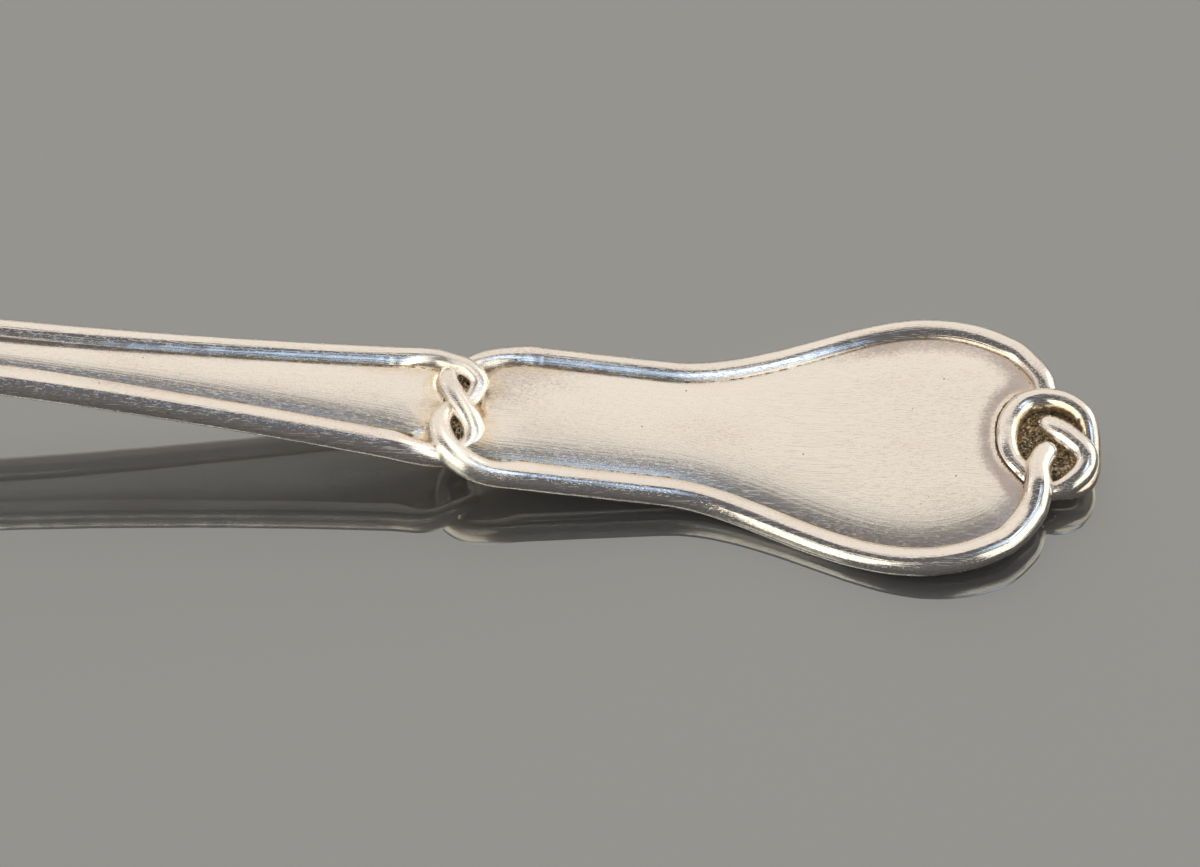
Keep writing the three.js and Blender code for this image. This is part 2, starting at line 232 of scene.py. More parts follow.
def cord_rings(line, radii, round_start=False, round_end=False, flank=None):
    reach = travelled(line)
    radii = np.array(radii, float)
    for rounded, depth in ((round_start, reach), (round_end, reach[-1] - reach)):
        if rounded:
            inside = np.clip(1 - depth / radii, 0, 1)
            radii = radii * np.sqrt(np.clip(1 - inside ** 2, TIP_LEAST, 1))
    sides, ups = ring_frames(line)
    across, height = cord_section(np.zeros(len(line)) if flank is None else flank)
    spokes = across[..., None] * sides[:, None] + height[..., None] * ups[:, None]
    rings = line[:, None] + spokes * radii[:, None, None]
    count = len(line)
    i, k = np.meshgrid(np.arange(count - 1), np.arange(CORD_FACETS), indexing="ij")
    ahead = (k + 1) % CORD_FACETS
    quads = np.stack([i, i, i + 1, i + 1], -1) * CORD_FACETS + np.stack([k, ahead, ahead, k], -1)
    faces = quads.reshape(-1, 4).tolist()
    faces.append(list(range(CORD_FACETS)))
    faces[-1].reverse()
    faces.append(list(range((count - 1) * CORD_FACETS, count * CORD_FACETS)))
    print("a cord of", round(float(reach[-1]), 1), "mm:", end=" ")
    return rings.reshape(-1, 3), faces


# %% Cords: drawn lines
def drawn_marks(line, outer=0, pitted=0.3):
    lane = np.mod(CORD_TURN + math.pi / 2, 2 * math.pi) * CORD_RADIUS
    facing = np.clip(np.tile(np.cos(CORD_TURN) * outer, len(line)) * 2, 0, 1)
    pitted = np.repeat(np.broadcast_to(pitted, len(line)), CORD_FACETS) * np.maximum(facing, outer == 0)
    return {
        "lane": np.tile(lane, len(line)) * MM,
        "reach": np.repeat(travelled(line), CORD_FACETS) * MM,
        "drawn": 1.0,
        "pitted": pitted,
    }


# %% [markdown]
# ## Pieces
# Each piece becomes a smooth mesh in metres that rides on the spoon and, unless it is only dirt, stands for
# its imported solid. Marks for dirt, tarnish, painted shade, drawn lines and rubbing are kept on its points,
# where the finishes read them. Only the cut ends of the cords stay flat, because a smooth end would bend the
# light beside it.

# %% Pieces
MARKS = ("grime_and_shade", "ochre_and_shade", "haze_and_shade", "lane", "reach", "drawn", "pitted", "rubbed")
spoon = bpy.data.collections.new("spoon")


def make_piece(name, points, faces, finish, node, marks):
    mesh = bpy.data.meshes.new(name)
    mesh.from_pydata((np.asarray(points) * MM).tolist(), [], faces)
    for label in MARKS:
        values = np.broadcast_to(marks.get(label, 0.0), len(points)).astype(np.float32)
        mesh.attributes.new(label, "FLOAT", "POINT").data.foreach_set("value", values)
    work = bmesh.new()
    work.from_mesh(mesh)
    bmesh.ops.recalc_face_normals(work, faces=work.faces)
    work.to_mesh(mesh)
    work.free()
    mesh.polygons.foreach_set("use_smooth", [len(face.vertices) <= 4 for face in mesh.polygons])
    mesh.materials.append(finish)
    piece = bpy.data.objects.new(name, mesh)
    bpy.context.scene.collection.objects.link(piece)
    spoon.objects.link(piece)
    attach(piece, "root")
    if node:
        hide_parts(node)
    print(name, len(mesh.vertices), "points")
    return piece


# %% [markdown]
# ## Silver
# Old silver is never one colour. Brushing and polishing leave fine lines along the handle, handling adds
# short scratches and pits, and tarnish stays in the corners. Layers of stretched noise draw these lines at
# their true size, and the marks on the points say where dirt, warm tarnish and grey haze lie. The same marks
# also carry painted shade: a contact shadow beside the loop, darker undersides of the plates and cords, and
# darker inner flanks of the cords.

# %% Node helpers
def new_finish(name):
    finish = bpy.data.materials.new(name)
    finish.use_nodes = True
    return finish, finish.node_tree, finish.node_tree.nodes["Principled BSDF"]


def feed(tree, socket, value):
    if isinstance(value, bpy.types.NodeSocket):
        tree.links.new(value, socket)
    else:
        socket.default_value = value


def math_node(tree, operation, *values):
    node = tree.nodes.new("ShaderNodeMath")
    node.operation = operation
    for socket, value in zip(node.inputs, values):
        feed(tree, socket, value)
    return node.outputs[0]


def ramp(tree, value, low, high, start=0.0, end=1.0):
    node = tree.nodes.new("ShaderNodeMapRange")
    node.interpolation_type = "SMOOTHSTEP"
    for socket, number in zip(node.inputs, (value, low, high, start, end)):
        feed(tree, socket, number)
    return node.outputs[0]


def colour_mix(tree, share, a, b):
    node = tree.nodes.new("ShaderNodeMix")
    node.data_type = "RGBA"
    feed(tree, node.inputs["Factor"], share)
    feed(tree, node.inputs[6], a)
    feed(tree, node.inputs[7], b)
    return node.outputs[2]


# %% Node helpers for grain and marks
def streaks(tree, place, turn, along, across, detail):
    spread = tree.nodes.new("ShaderNodeMapping")
    tree.links.new(place, spread.inputs["Vector"])
    spread.inputs["Rotation"].default_value = (0, 0, math.radians(turn))
    spread.inputs["Scale"].default_value = (1 / (along * MM), 1 / (across * MM), 1 / (across * MM))
    grain = tree.nodes.new("ShaderNodeTexNoise")
    grain.inputs["Scale"].default_value = 1
    grain.inputs["Detail"].default_value = detail
    tree.links.new(spread.outputs[0], grain.inputs["Vector"])
    return grain.outputs["Fac"]


def mark(tree, label):
    node = tree.nodes.new("ShaderNodeAttribute")
    node.attribute_name = label
    return node.outputs["Fac"]


def coat(tree, shader, colour, metallic, roughness, height, strength, depth):
    relief = tree.nodes.new("ShaderNodeBump")
    relief.inputs["Strength"].default_value = strength
    relief.inputs["Distance"].default_value = depth * MM
    tree.links.new(height, relief.inputs["Height"])
    tree.links.new(colour, shader.inputs["Base Color"])
    tree.links.new(metallic, shader.inputs["Metallic"])
    tree.links.new(roughness, shader.inputs["Roughness"])
    tree.links.new(relief.outputs[0], shader.inputs["Normal"])


# %% [markdown]
# Each grain below has four numbers: its turn in degrees, its length and width in millimetres, and its
# detail. A span says between which two values of the grain a line or a stain fades in.

# %% Silver: lines and pits
BRUSHED = (0, 7, 0.09, 2)
SPECKLED = (12, 0.3, 0.13, 1)
DRAWN = (0, 14, 0.2, 3)
SCRATCHES = ((4, 2.6, 0.06, 0), (-9, 3.4, 0.07, 0), (38, 1.7, 0.06, 0), (-57, 1.3, 0.05, 0))
SCRATCH_SPAN = (0.70, 0.80)
DRAWN_SPAN = (0.42, 0.6)
SPECKLE_SPAN = (0.52, 0.7)
PIT_SPACING = 2.4
PIT_SPAN = (0.022, 0.034)


def silver_lines(tree, place):
    scratch = 0.0
    for grain in SCRATCHES:
        lines = ramp(tree, streaks(tree, place, *grain), *SCRATCH_SPAN)
        scratch = math_node(tree, "MAXIMUM", scratch, lines)
    along_cord = tree.nodes.new("ShaderNodeCombineXYZ")
    tree.links.new(mark(tree, "reach"), along_cord.inputs["X"])
    tree.links.new(mark(tree, "lane"), along_cord.inputs["Y"])
    drawn = ramp(tree, streaks(tree, along_cord.outputs[0], *DRAWN), *DRAWN_SPAN)
    speckle = ramp(tree, streaks(tree, place, *SPECKLED), *SPECKLE_SPAN)
    pitting = tree.nodes.new("ShaderNodeTexVoronoi")
    tree.links.new(place, pitting.inputs["Vector"])
    pitting.inputs["Scale"].default_value = 1 / (PIT_SPACING * MM)
    return {
        "brushed": streaks(tree, place, *BRUSHED),
        "scratch": scratch,
        "drawn": math_node(tree, "MULTIPLY", drawn, mark(tree, "drawn")),
        "speckle": math_node(tree, "MULTIPLY", speckle, mark(tree, "pitted")),
        "pits": ramp(tree, pitting.outputs["Distance"], *PIT_SPAN, 1, 0),
    }


# %% Silver: tarnish, dirt and painted shade
CLOUDY = (0, 9, 4, 4)
MOTTLED = (20, 0.55, 0.4, 3)
DUSTY = (-25, 0.24, 0.16, 2)
GRIME_AND_SHADE_SPAN = (0.42, 0.62)
OCHRE_AND_SHADE_SPAN = (0.25, 0.6)
HAZE_AND_SHADE_SPAN = (0.1, 0.95)


def silver_stains(tree, place):
    cloudy, mottled, dusty = [streaks(tree, place, *grain) for grain in (CLOUDY, MOTTLED, DUSTY)]
    broken = math_node(tree, "SUBTRACT", mottled, 0.5)
    uneven = math_node(tree, "SUBTRACT", math_node(tree, "ADD", cloudy, dusty), 1.0)
    return {
        "cloudy": cloudy,
        "mottled": mottled,
        "grime_and_shade": ramp(tree, math_node(tree, "ADD", mark(tree, "grime_and_shade"), broken), *GRIME_AND_SHADE_SPAN),
        "ochre_and_shade": math_node(tree, "MULTIPLY", mark(tree, "ochre_and_shade"), ramp(tree, mottled, *OCHRE_AND_SHADE_SPAN)),
        "haze_and_shade": ramp(tree, math_node(tree, "ADD", mark(tree, "haze_and_shade"), uneven), *HAZE_AND_SHADE_SPAN),
    }


# %% Silver: colour
CLEAN = (0.93, 0.88, 0.82, 1)
YELLOW_TARNISH_AND_SHADE = (0.80, 0.64, 0.43, 1)
HAZE_AND_SHADE_TINT = (0.47, 0.40, 0.38, 1)
DIRT_AND_SHADE = (0.035, 0.022, 0.012, 1)
CRUST_AND_SHADE = (0.20, 0.12, 0.055, 1)
PINKISH = (0.90, 0.81, 0.75, 1)
DULLED = (0.80, 0.74, 0.68, 1)
CLOUD_SPAN = (0.35, 0.7)
CLOUD_MOST = 0.35
BRUSHED_SPAN = (0.35, 0.65)
BRUSHED_MOST = 0.16
CRUST_AND_SHADE_SPAN = (0.4, 0.65)
# The haze and ochre tints are real tarnish, and also painted shade on the undersides of plates and cords and
# on the inner flanks of the cords.
TINTS = (("drawn", 0.3, DULLED), ("haze_and_shade", 0.8, HAZE_AND_SHADE_TINT), ("ochre_and_shade", 1.0, YELLOW_TARNISH_AND_SHADE), ("pits", 0.8, DIRT_AND_SHADE))


def silver_colour(tree, grain):
    silver = colour_mix(tree, ramp(tree, grain["cloudy"], *CLOUD_SPAN, 0, CLOUD_MOST), CLEAN, PINKISH)
    brushed = ramp(tree, grain["brushed"], *BRUSHED_SPAN, 0, BRUSHED_MOST)
    silver = colour_mix(tree, brushed, silver, DULLED)
    for label, most, tint in TINTS:
        silver = colour_mix(tree, math_node(tree, "MULTIPLY", grain[label], most), silver, tint)
    # Where the grime mark is high the silver turns dark brown: real dirt in grooves and gaps, and a painted
    # contact shadow beside the loop.
    dirt_and_shade = colour_mix(tree, ramp(tree, grain["mottled"], *CRUST_AND_SHADE_SPAN), DIRT_AND_SHADE, CRUST_AND_SHADE)
    return colour_mix(tree, grain["grime_and_shade"], silver, dirt_and_shade)


# %% Silver: sheen and relief
HAZE_AND_SHADE_DULLING = 0.14
RUB_DULLING = 0.13
GRIME_AND_SHADE_ROUGHNESS = 0.6
DRAWN_DEPTH = 0.7


def silver_roughness(tree, grain, sheen, spread, lines):
    rough = math_node(tree, "MULTIPLY_ADD", grain["brushed"], spread, sheen - spread / 2)
    dulling = ((grain["haze_and_shade"], HAZE_AND_SHADE_DULLING), (grain["scratch"], lines), (mark(tree, "rubbed"), RUB_DULLING))
    for share, most in dulling:
        rough = math_node(tree, "MULTIPLY_ADD", share, most, rough)
    return math_node(tree, "MAXIMUM", rough, math_node(tree, "MULTIPLY", grain["grime_and_shade"], GRIME_AND_SHADE_ROUGHNESS))


def silver_relief(tree, grain, brushing, lines, speckling):
    height = math_node(tree, "MULTIPLY", grain["brushed"], brushing)
    for label, depth in (("drawn", DRAWN_DEPTH), ("scratch", lines), ("speckle", speckling), ("pits", 1)):
        height = math_node(tree, "MULTIPLY_ADD", grain[label], -depth, height)
    return math_node(tree, "MULTIPLY_ADD", grain["grime_and_shade"], grain["mottled"], height)


# %% Silver finishes
GRIME_AND_SHADE_METALLIC = 0.15
SILVER_RELIEF = (0.35, 0.02)


def silver_finish(name, sheen, spread, brushing, lines, speckling):
    finish, tree, shader = new_finish(name)
    place = tree.nodes.new("ShaderNodeTexCoord").outputs["Object"]
    grain = {**silver_lines(tree, place), **silver_stains(tree, place)}
    metallic = ramp(tree, grain["grime_and_shade"], 0, 1, 1, GRIME_AND_SHADE_METALLIC)
    roughness = silver_roughness(tree, grain, sheen, spread, lines)
    height = silver_relief(tree, grain, brushing, lines, speckling)
    coat(tree, shader, silver_colour(tree, grain), metallic, roughness, height, *SILVER_RELIEF)
    return finish


satin = silver_finish(
    "satin_silver_scratched", sheen=0.24, spread=0.12, brushing=0.6, lines=0.25, speckling=0.1)
polished = silver_finish(
    "polished_silver_worn", sheen=0.115, spread=0.06, brushing=0.5, lines=0.25, speckling=0.85)
print("finishes", satin.name, polished.name)

# %% [markdown]
# ## Crust
# Dried polish and dirt fill the deepest gaps. The crust is dull and brown, with worn golden patches and a
# few bright grains of bare metal, so it gets a finish of its own. Some of its spans name the values at
# their ends as well.

# %% Crust finish
GOLDEN = (0.62, 0.46, 0.25, 1)
CRUST_GRAIN = (15, 0.2, 0.16, 2)
CRUST_PATCH = (-30, 0.9, 0.7, 3)
WORN_PATCH = (0.4, 0.58, 0.4)
WORN_SPAN = (0.46, 0.58)
BARE_SPAN = (0.66, 0.74)
CRUST_METALLIC = (0.5, 0.62, 0.1, 1)
CRUST_ROUGHNESS = (0.45, 0.65, 0.7, 0.3)
CRUST_RELIEF = (0.6, 0.04)


def crust_finish(name):
    finish, tree, shader = new_finish(name)
    place = tree.nodes.new("ShaderNodeTexCoord").outputs["Object"]
    grain, patch = streaks(tree, place, *CRUST_GRAIN), streaks(tree, place, *CRUST_PATCH)
    worn = math_node(tree, "MULTIPLY", ramp(tree, patch, *WORN_PATCH), ramp(tree, grain, *WORN_SPAN))
    colour = colour_mix(tree, ramp(tree, patch, *CRUST_AND_SHADE_SPAN), DIRT_AND_SHADE, CRUST_AND_SHADE)
    colour = colour_mix(tree, worn, colour, GOLDEN)
    colour = colour_mix(tree, ramp(tree, grain, *BARE_SPAN), colour, CLEAN)
    metallic = ramp(tree, grain, *CRUST_METALLIC)
    roughness = ramp(tree, grain, *CRUST_ROUGHNESS)
    coat(tree, shader, colour, metallic, roughness, grain, *CRUST_RELIEF)
    return finish


crusted = crust_finish("satin_silver_crusted")
print("finish", crusted.name)

# %% [markdown]
# ## Bowl
# The bowl is raised from a round sheet and pierced with a saw and a drill. Cutting holes into a turned mesh
# with booleans leaves long slivers that spoil a polished surface. Here the sheet is drawn flat with its
# holes, like the smith's pattern, triangulated, and only then bent up into the bowl and given its wall.

# %% Bowl: the flat pattern
RIM_ANGLE = math.acos((WALL_RADIUS - BOWL_DEPTH + BOWL_WALL / 2) / (WALL_RADIUS - BOWL_WALL / 2))
RIM_REACH = BASE_RADIUS + WALL_RADIUS * RIM_ANGLE
ROUND_SIDES = 20
PETAL_ARC_POINTS = 13
PETAL_FLANK_POINTS = 7


def wall_radius_at(reach):
    angle = np.clip(reach - BASE_RADIUS, 0, None) / WALL_RADIUS
    return np.minimum(reach, BASE_RADIUS) + WALL_RADIUS * np.sin(angle)


def hole_outline(shape, at, turn):
    reach = BASE_RADIUS + at + shape[:, 0]
    return np.stack([reach, turn + shape[:, 1] / wall_radius_at(reach)], -1)


def round_hole(diameter, grown):
    turn = np.linspace(0, 2 * math.pi, ROUND_SIDES, endpoint=False)
    return (diameter / 2 + grown) * np.stack([np.cos(turn), np.sin(turn)], -1)


def petal_hole(length, width, grown):
    radius = width / 2
    centre = length / 2 - radius
    turn = np.linspace(-math.pi / 2, math.pi / 2, PETAL_ARC_POINTS)
    arc = np.stack([centre + radius * np.cos(turn), radius * np.sin(turn)], -1)
    flank = np.linspace(0, 1, PETAL_FLANK_POINTS)[1:-1, None]
    tip = np.array([[-length / 2, 0.0]])
    outline = np.vstack([arc, arc[-1] + (tip - arc[-1]) * flank, tip, tip + (arc[0] - tip) * flank])
    ahead = np.roll(outline, -1, 0) - np.roll(outline, 1, 0)
    out = np.stack([ahead[:, 1], -ahead[:, 0]], -1)
    return outline + grown * out / np.linalg.norm(out, axis=1, keepdims=True)


print("sheet", round(2 * RIM_REACH, 1), "mm across before it is raised")

# %% Bowl: rings of holes
DROP_TIP = 14.5
DROP_HALF = 3.0
HOLE_EDGE = 0.14
HOLE_MARGIN = 0.3
HOLE_RINGS = [
    ("round", 1.8, 0, 2.6, 8, 0),
    ("petal", 3.3, 7.2, 8.6, 8, math.pi / 8),
    ("round", 2.2, 0, 10.6, 8, 0),
    ("round", 1.6, 0, 16.4, 24, math.pi / 24),
]


def pierced(grown):
    outlines = []
    for kind, width, length, at, count, first in HOLE_RINGS:
        shape = round_hole(width, grown) if kind == "round" else petal_hole(length, width, grown)
        for n in range(count):
            turn = first + 2 * math.pi * n / count
            spot = wall_radius_at(BASE_RADIUS + at)
            beside = abs(spot * math.sin(turn)) > DROP_HALF + width / 2 + HOLE_MARGIN
            if beside or spot * math.cos(turn) < DROP_TIP - width:
                outlines.append(hole_outline(shape, at, turn))
    return outlines


hole_edges = pierced(HOLE_EDGE)
print("holes", len(hole_edges))

# %% Bowl: points between the holes
PATTERN_STEP = 0.85
PATTERN_FOLDS = 8
RIM_POINTS = 96
HOLE_COLLAR = 0.34
HOLE_CLEAR = 0.62
LEAST_RISE = 1e-12


def flat_spot(polar):
    return np.stack([polar[:, 0] * np.cos(polar[:, 1]), polar[:, 0] * np.sin(polar[:, 1])], -1)


def inside_outline(spots, outline):
    x, y = spots[:, :1], spots[:, 1:]
    x0, y0 = outline.T
    x1, y1 = np.roll(outline, -1, 0).T
    crossed = ((y0 > y) != (y1 > y)) & (x < (x1 - x0) * (y - y0) / (y1 - y0 + LEAST_RISE) + x0)
    return crossed.sum(1) % 2 == 1


def pattern_points():
    reaches = np.linspace(0, RIM_REACH, round(RIM_REACH / PATTERN_STEP) + 1)
    polar = [(0.0, 0.0)]
    for k, reach in enumerate(reaches[1:]):
        per_fold = max(1, round(2 * math.pi * reach / PATTERN_STEP / PATTERN_FOLDS))
        count = RIM_POINTS if k == len(reaches) - 2 else per_fold * PATTERN_FOLDS
        polar += [(reach, 2 * math.pi * (n + 0.5 * (k % 2)) / count) for n in range(count)]
    return np.array(polar)


loose = pattern_points()
clear = np.ones(len(loose), bool)
for wide in pierced(HOLE_CLEAR):
    clear &= ~inside_outline(flat_spot(loose), flat_spot(wide))
clear[-RIM_POINTS:] = True
loose = np.vstack([*pierced(HOLE_COLLAR), loose[clear]])
pattern = np.vstack([loose, *hole_edges])
print("pattern of", len(pattern), "points")

# %% Bowl: triangles between the holes
CUT_TOLERANCE = 1e-7
rim_ids = np.arange(len(loose) - RIM_POINTS, len(loose))
loops, start = [], len(loose)
for edge in hole_edges:
    loops.append(np.arange(start, start + len(edge)))
    start += len(edge)
borders = []
for loop in [rim_ids, *loops]:
    borders += list(zip(loop.tolist(), np.roll(loop, -1).tolist()))
cut = delaunay_2d_cdt([Vector(spot) for spot in flat_spot(pattern)], borders, [], 0, CUT_TOLERANCE)
cut_points, cut_faces = cut[0], cut[2]
triangles = np.array([face for face in cut_faces if len(face) == 3])
centres = np.array([list(spot) for spot in cut_points])[triangles].mean(1)
keep = np.ones(len(triangles), bool)
for edge in hole_edges:
    keep &= ~inside_outline(centres, flat_spot(edge))
triangles = triangles[keep]
print(len(cut_points), "points after cutting,", len(triangles), "triangles")


# %% Bowl: bend the sheet up
def bent(polar, depth):
    reach, turn = polar[:, 0], polar[:, 1]
    angle = np.clip(reach - BASE_RADIUS, 0, None) / WALL_RADIUS
    radius = np.minimum(reach, BASE_RADIUS) + (WALL_RADIUS - depth) * np.sin(angle)
    height = WALL_RADIUS - (WALL_RADIUS - depth) * np.cos(angle)
    return np.stack([radius * np.cos(turn), radius * np.sin(turn), height], -1)


def joined(lower, upper):
    ahead_low, ahead_up = np.roll(lower, -1), np.roll(upper, -1)
    return np.stack([lower, ahead_low, ahead_up, upper], -1).tolist()


bowl_points = [bent(pattern, 0), bent(pattern, BOWL_WALL)]
sheet = len(pattern)
bowl_faces = triangles.tolist() + (triangles[:, ::-1] + sheet).tolist()


def grow(below, ring_points):
    first = sum(len(part) for part in bowl_points)
    ring = np.arange(first, first + len(ring_points))
    bowl_points.append(ring_points)
    bowl_faces.extend(joined(below, ring))
    return ring


print("two faces of", sheet, "points,", BOWL_WALL, "mm apart")

# %% Bowl: edges of the holes
EDGE_SHARE = 0.42
EDGE_DEPTH = 0.08
hole_steps = [
    (pierced(HOLE_EDGE * EDGE_SHARE), EDGE_DEPTH),
    (pierced(0.0), HOLE_EDGE),
    (pierced(0.0), BOWL_WALL - HOLE_EDGE),
    (pierced(HOLE_EDGE * EDGE_SHARE), BOWL_WALL - EDGE_DEPTH),
]
for n, loop in enumerate(loops):
    below = loop
    for edges, depth in hole_steps:
        below = grow(below, bent(edges[n], depth))
    bowl_faces += joined(below, loop + sheet)
print("rounded", len(loops), "holes")

# %% Bowl: rim
RIM_STEPS = 9
BOWL_HAZE = 0.42
half = BOWL_WALL / 2
rim = pattern[rim_ids]
rim_middle = bent(rim, half)
rim_out = bent(rim, 0) - rim_middle
rim_up = np.stack([
    math.cos(RIM_ANGLE) * np.cos(rim[:, 1]),
    math.cos(RIM_ANGLE) * np.sin(rim[:, 1]),
    np.full(RIM_POINTS, math.sin(RIM_ANGLE)),
], -1)
below = rim_ids
for turn in np.linspace(0, math.pi, RIM_STEPS)[1:-1]:
    below = grow(below, rim_middle + rim_out * math.cos(turn) + rim_up * half * math.sin(turn))
bowl_faces += joined(below, rim_ids + sheet)
bowl_points = np.vstack(bowl_points)
make_piece("sifter_bowl_pierced", bowl_points, bowl_faces, satin, "sifter_bowl", {"haze_and_shade": BOWL_HAZE})

# %% [markdown]
# ## Drop
# A tongue under the bowl spreads the pull of the handle over its thin wall. It follows the bowl, is
# thickest in its middle and thins to its edges, so it is laid on the bowl's own curve row by row.

# %% Drop: rows on the bowl
DROP_HEEL = BOWL_RADIUS + 1.4
DROP_THICKNESS = 1.5
DROP_SINK = 0.15
DROP_FULL_HALF = 1.6
DROP_MIDDLE = WALL_RADIUS + 0.8
DROP_TIP_INSET = 0.05
DROP_FIRST_ANGLE = math.asin((DROP_TIP + DROP_TIP_INSET - BASE_RADIUS) / DROP_MIDDLE)
DROP_LAST_ANGLE = math.radians(69.5)
DROP_ROWS = 60
DROP_COLUMNS = 25
DROP_OUTLINE_POINTS = 200
share = np.linspace(0, 1, DROP_OUTLINE_POINTS)
outline_x = DROP_HEEL * (1 - share) ** 2 + DROP_TIP * share ** 2
outline_x += 2 * (DROP_TIP + DROP_HALF) * share * (1 - share)
outline_y = DROP_HALF * (1 - share ** 2)
across = np.sin(np.linspace(-math.pi / 2, math.pi / 2, DROP_COLUMNS))


def drop_row(angle, outside):
    middle_x = BASE_RADIUS + DROP_MIDDLE * math.sin(angle)
    half_width = np.interp(middle_x, outline_x[::-1], outline_y[::-1])
    thin = np.sqrt(np.clip(1 - across ** 2, 0, 1)) * min(1, half_width / DROP_FULL_HALF)
    lift = DROP_THICKNESS * thin if outside else np.full(DROP_COLUMNS, -DROP_SINK)
    radius = BASE_RADIUS + (WALL_RADIUS + lift) * math.sin(angle)
    height = WALL_RADIUS - (WALL_RADIUS + lift) * math.cos(angle)
    y = across * half_width
    return np.stack([np.sqrt(radius ** 2 - y ** 2), y, height], -1)


angles = np.linspace(DROP_FIRST_ANGLE, DROP_LAST_ANGLE, DROP_ROWS)
drop_points = np.vstack([drop_row(angle, outside) for outside in (False, True) for angle in angles])
print("drop of", len(drop_points), "points")

# %% Drop: faces
DROP_HAZE = 0.45


def grid_faces(rows, columns, start=0):
    i, k = np.meshgrid(np.arange(rows - 1), np.arange(columns - 1), indexing="ij")
    corner = start + i * columns + k
    return np.stack([corner, corner + 1, corner + columns + 1, corner + columns], -1).reshape(-1, 4).tolist()


def shell_faces(rows, columns):
    below = rows * columns
    border = np.concatenate([
        np.arange(columns),
        np.arange(1, rows) * columns + columns - 1,
        (rows - 1) * columns + np.arange(columns - 2, -1, -1),
        np.arange(rows - 2, 0, -1) * columns,
    ])
    return grid_faces(rows, columns) + grid_faces(rows, columns, below) + joined(border, border + below)


drop_faces = shell_faces(DROP_ROWS, DROP_COLUMNS)
make_piece("bowl_drop_tongue", drop_points, drop_faces, satin, "bowl_drop", {"haze_and_shade": DROP_HAZE})

# %% [markdown]
# ## Plates of the handle
# Between its cords the handle is a flat plate that rolls down to a groove beside each cord. The roll
# catches dark and blue light, so it is real relief and not a painted line.

# %% Plates: section and grid
PANEL_TUCK = 0.75
GROOVE_AT = 1.05
GROOVE_LEVEL = 0.5
ROLL_SLOPE = 0.32
ROLL_WIDTH = 1.5
LEAST_WIDTH = 1.5
PLATE_COLUMNS = 52
EDGE_CROWDING = 1.3
LINE_PARTS = 16


def smooth_step(value, low, high):
    share = np.clip((value - low) / (high - low), 0, 1)
    return share * share * (3 - 2 * share)


def distance_to(line, x, y):
    spots = np.stack([np.ravel(x), np.ravel(y)], -1)
    near = np.full(len(spots), np.inf)
    for part in np.array_split(line[:, :2], LINE_PARTS):
        near = np.minimum(near, np.sqrt(((spots[:, None] - part[None]) ** 2).sum(-1)).min(1))
    return near.reshape(np.shape(x))


def plate_grid(stations, left, right):
    inward = np.linspace(0, 1, PLATE_COLUMNS) ** EDGE_CROWDING
    across = np.concatenate([inward - 1, 1 - inward[-2::-1]])
    middle, half_width = (left + right) / 2, (left - right) / 2 - PANEL_TUCK
    return np.repeat(stations[:, None], len(across), 1), middle[:, None] + half_width[:, None] * across


def plate_top(left_away, right_away):
    width = np.maximum(left_away + right_away - 2 * GROOVE_AT, LEAST_WIDTH)
    far_share = np.exp(-width / ROLL_WIDTH)
    roll = sum(np.exp((GROOVE_AT - away) / ROLL_WIDTH) for away in (left_away, right_away))
    return GROOVE_LEVEL + ROLL_SLOPE * ROLL_WIDTH * (1 + far_share - roll) / (1 - far_share)


# %% Plates: marks and mesh
EDGE_BRUSHING = 0.6
BRUSHING_LOSS = 0.4
BRUSHING_SPAN = (1.4, 5)
GROOVE_DIRT_AT = GROOVE_AT + 0.03
GROOVE_DIRT_SPAN = (0.05, 0.2)
UNDERSIDE_SHARE = 0.8
UNDERSIDE_HAZE_AND_SHADE = 0.6
UNDERSIDE_SHADE_SPAN = (70, 100)


def brushed_marks(x, away):
    brushed = EDGE_BRUSHING - BRUSHING_LOSS * smooth_step(away, *BRUSHING_SPAN)
    return {"lane": away * MM, "reach": x * MM, "drawn": brushed}


def groove_line(away):
    return 1 - smooth_step(np.abs(away - GROOVE_DIRT_AT), *GROOVE_DIRT_SPAN)


def make_plate(name, node, x, y, top, marks):
    rows, columns = x.shape
    upper = on_handle(x, y, top).reshape(-1, 3)
    lower = on_handle(x, y, -UNDERSIDE_SHARE * top).reshape(-1, 3)
    both = {label: np.concatenate([np.ravel(values)] * 2) for label, values in marks.items()}
    # The underside's haze grows towards the palette: partly tarnish, partly painted shade where the handle
    # lies low over the table.
    both["haze_and_shade"][len(upper):] = UNDERSIDE_HAZE_AND_SHADE * smooth_step(np.ravel(x), *UNDERSIDE_SHADE_SPAN)
    make_piece(name, np.vstack([upper, lower]), shell_faces(rows, columns), satin, node, both)


# %% [markdown]
# ## Twist at the waist
# Two strands cross three times where the stem meets the palette. Their routes come before the plates,
# because the plates dip under them and hold the dirt of years in the two small eyes between them. Fingers
# have rubbed the strands duller than the long cords. A second finish would end in a line at each joint, so
# a mark fades the rubbing in.

# %% Twist: routes
TWIST_HALF_LENGTH = 1.5
TWIST_HALF_WIDTH = 4.5
TWIST_REACH = 6
LEAD = np.array([0.0, 0.7, 1.4])
JOINT_LAP = 0.4
WIRE_STEP = 0.1
OVER = 0.5
UNDER = -0.35


def twist_route(side, points):
    along, across, lift, radius = np.array(points).T
    start = WAIST_X - TWIST_REACH - JOINT_LAP + LEAD
    end = WAIST_X + TWIST_REACH + JOINT_LAP - LEAD[::-1]
    return smooth_route(np.vstack([
        wire_points(start, side * stem_edge(start), 0, CORD_RADIUS),
        wire_points(WAIST_X + along * TWIST_HALF_LENGTH, across * TWIST_HALF_WIDTH, lift, radius),
        wire_points(end, -side * palette_side(end), 0, CORD_RADIUS),
    ]), WIRE_STEP)


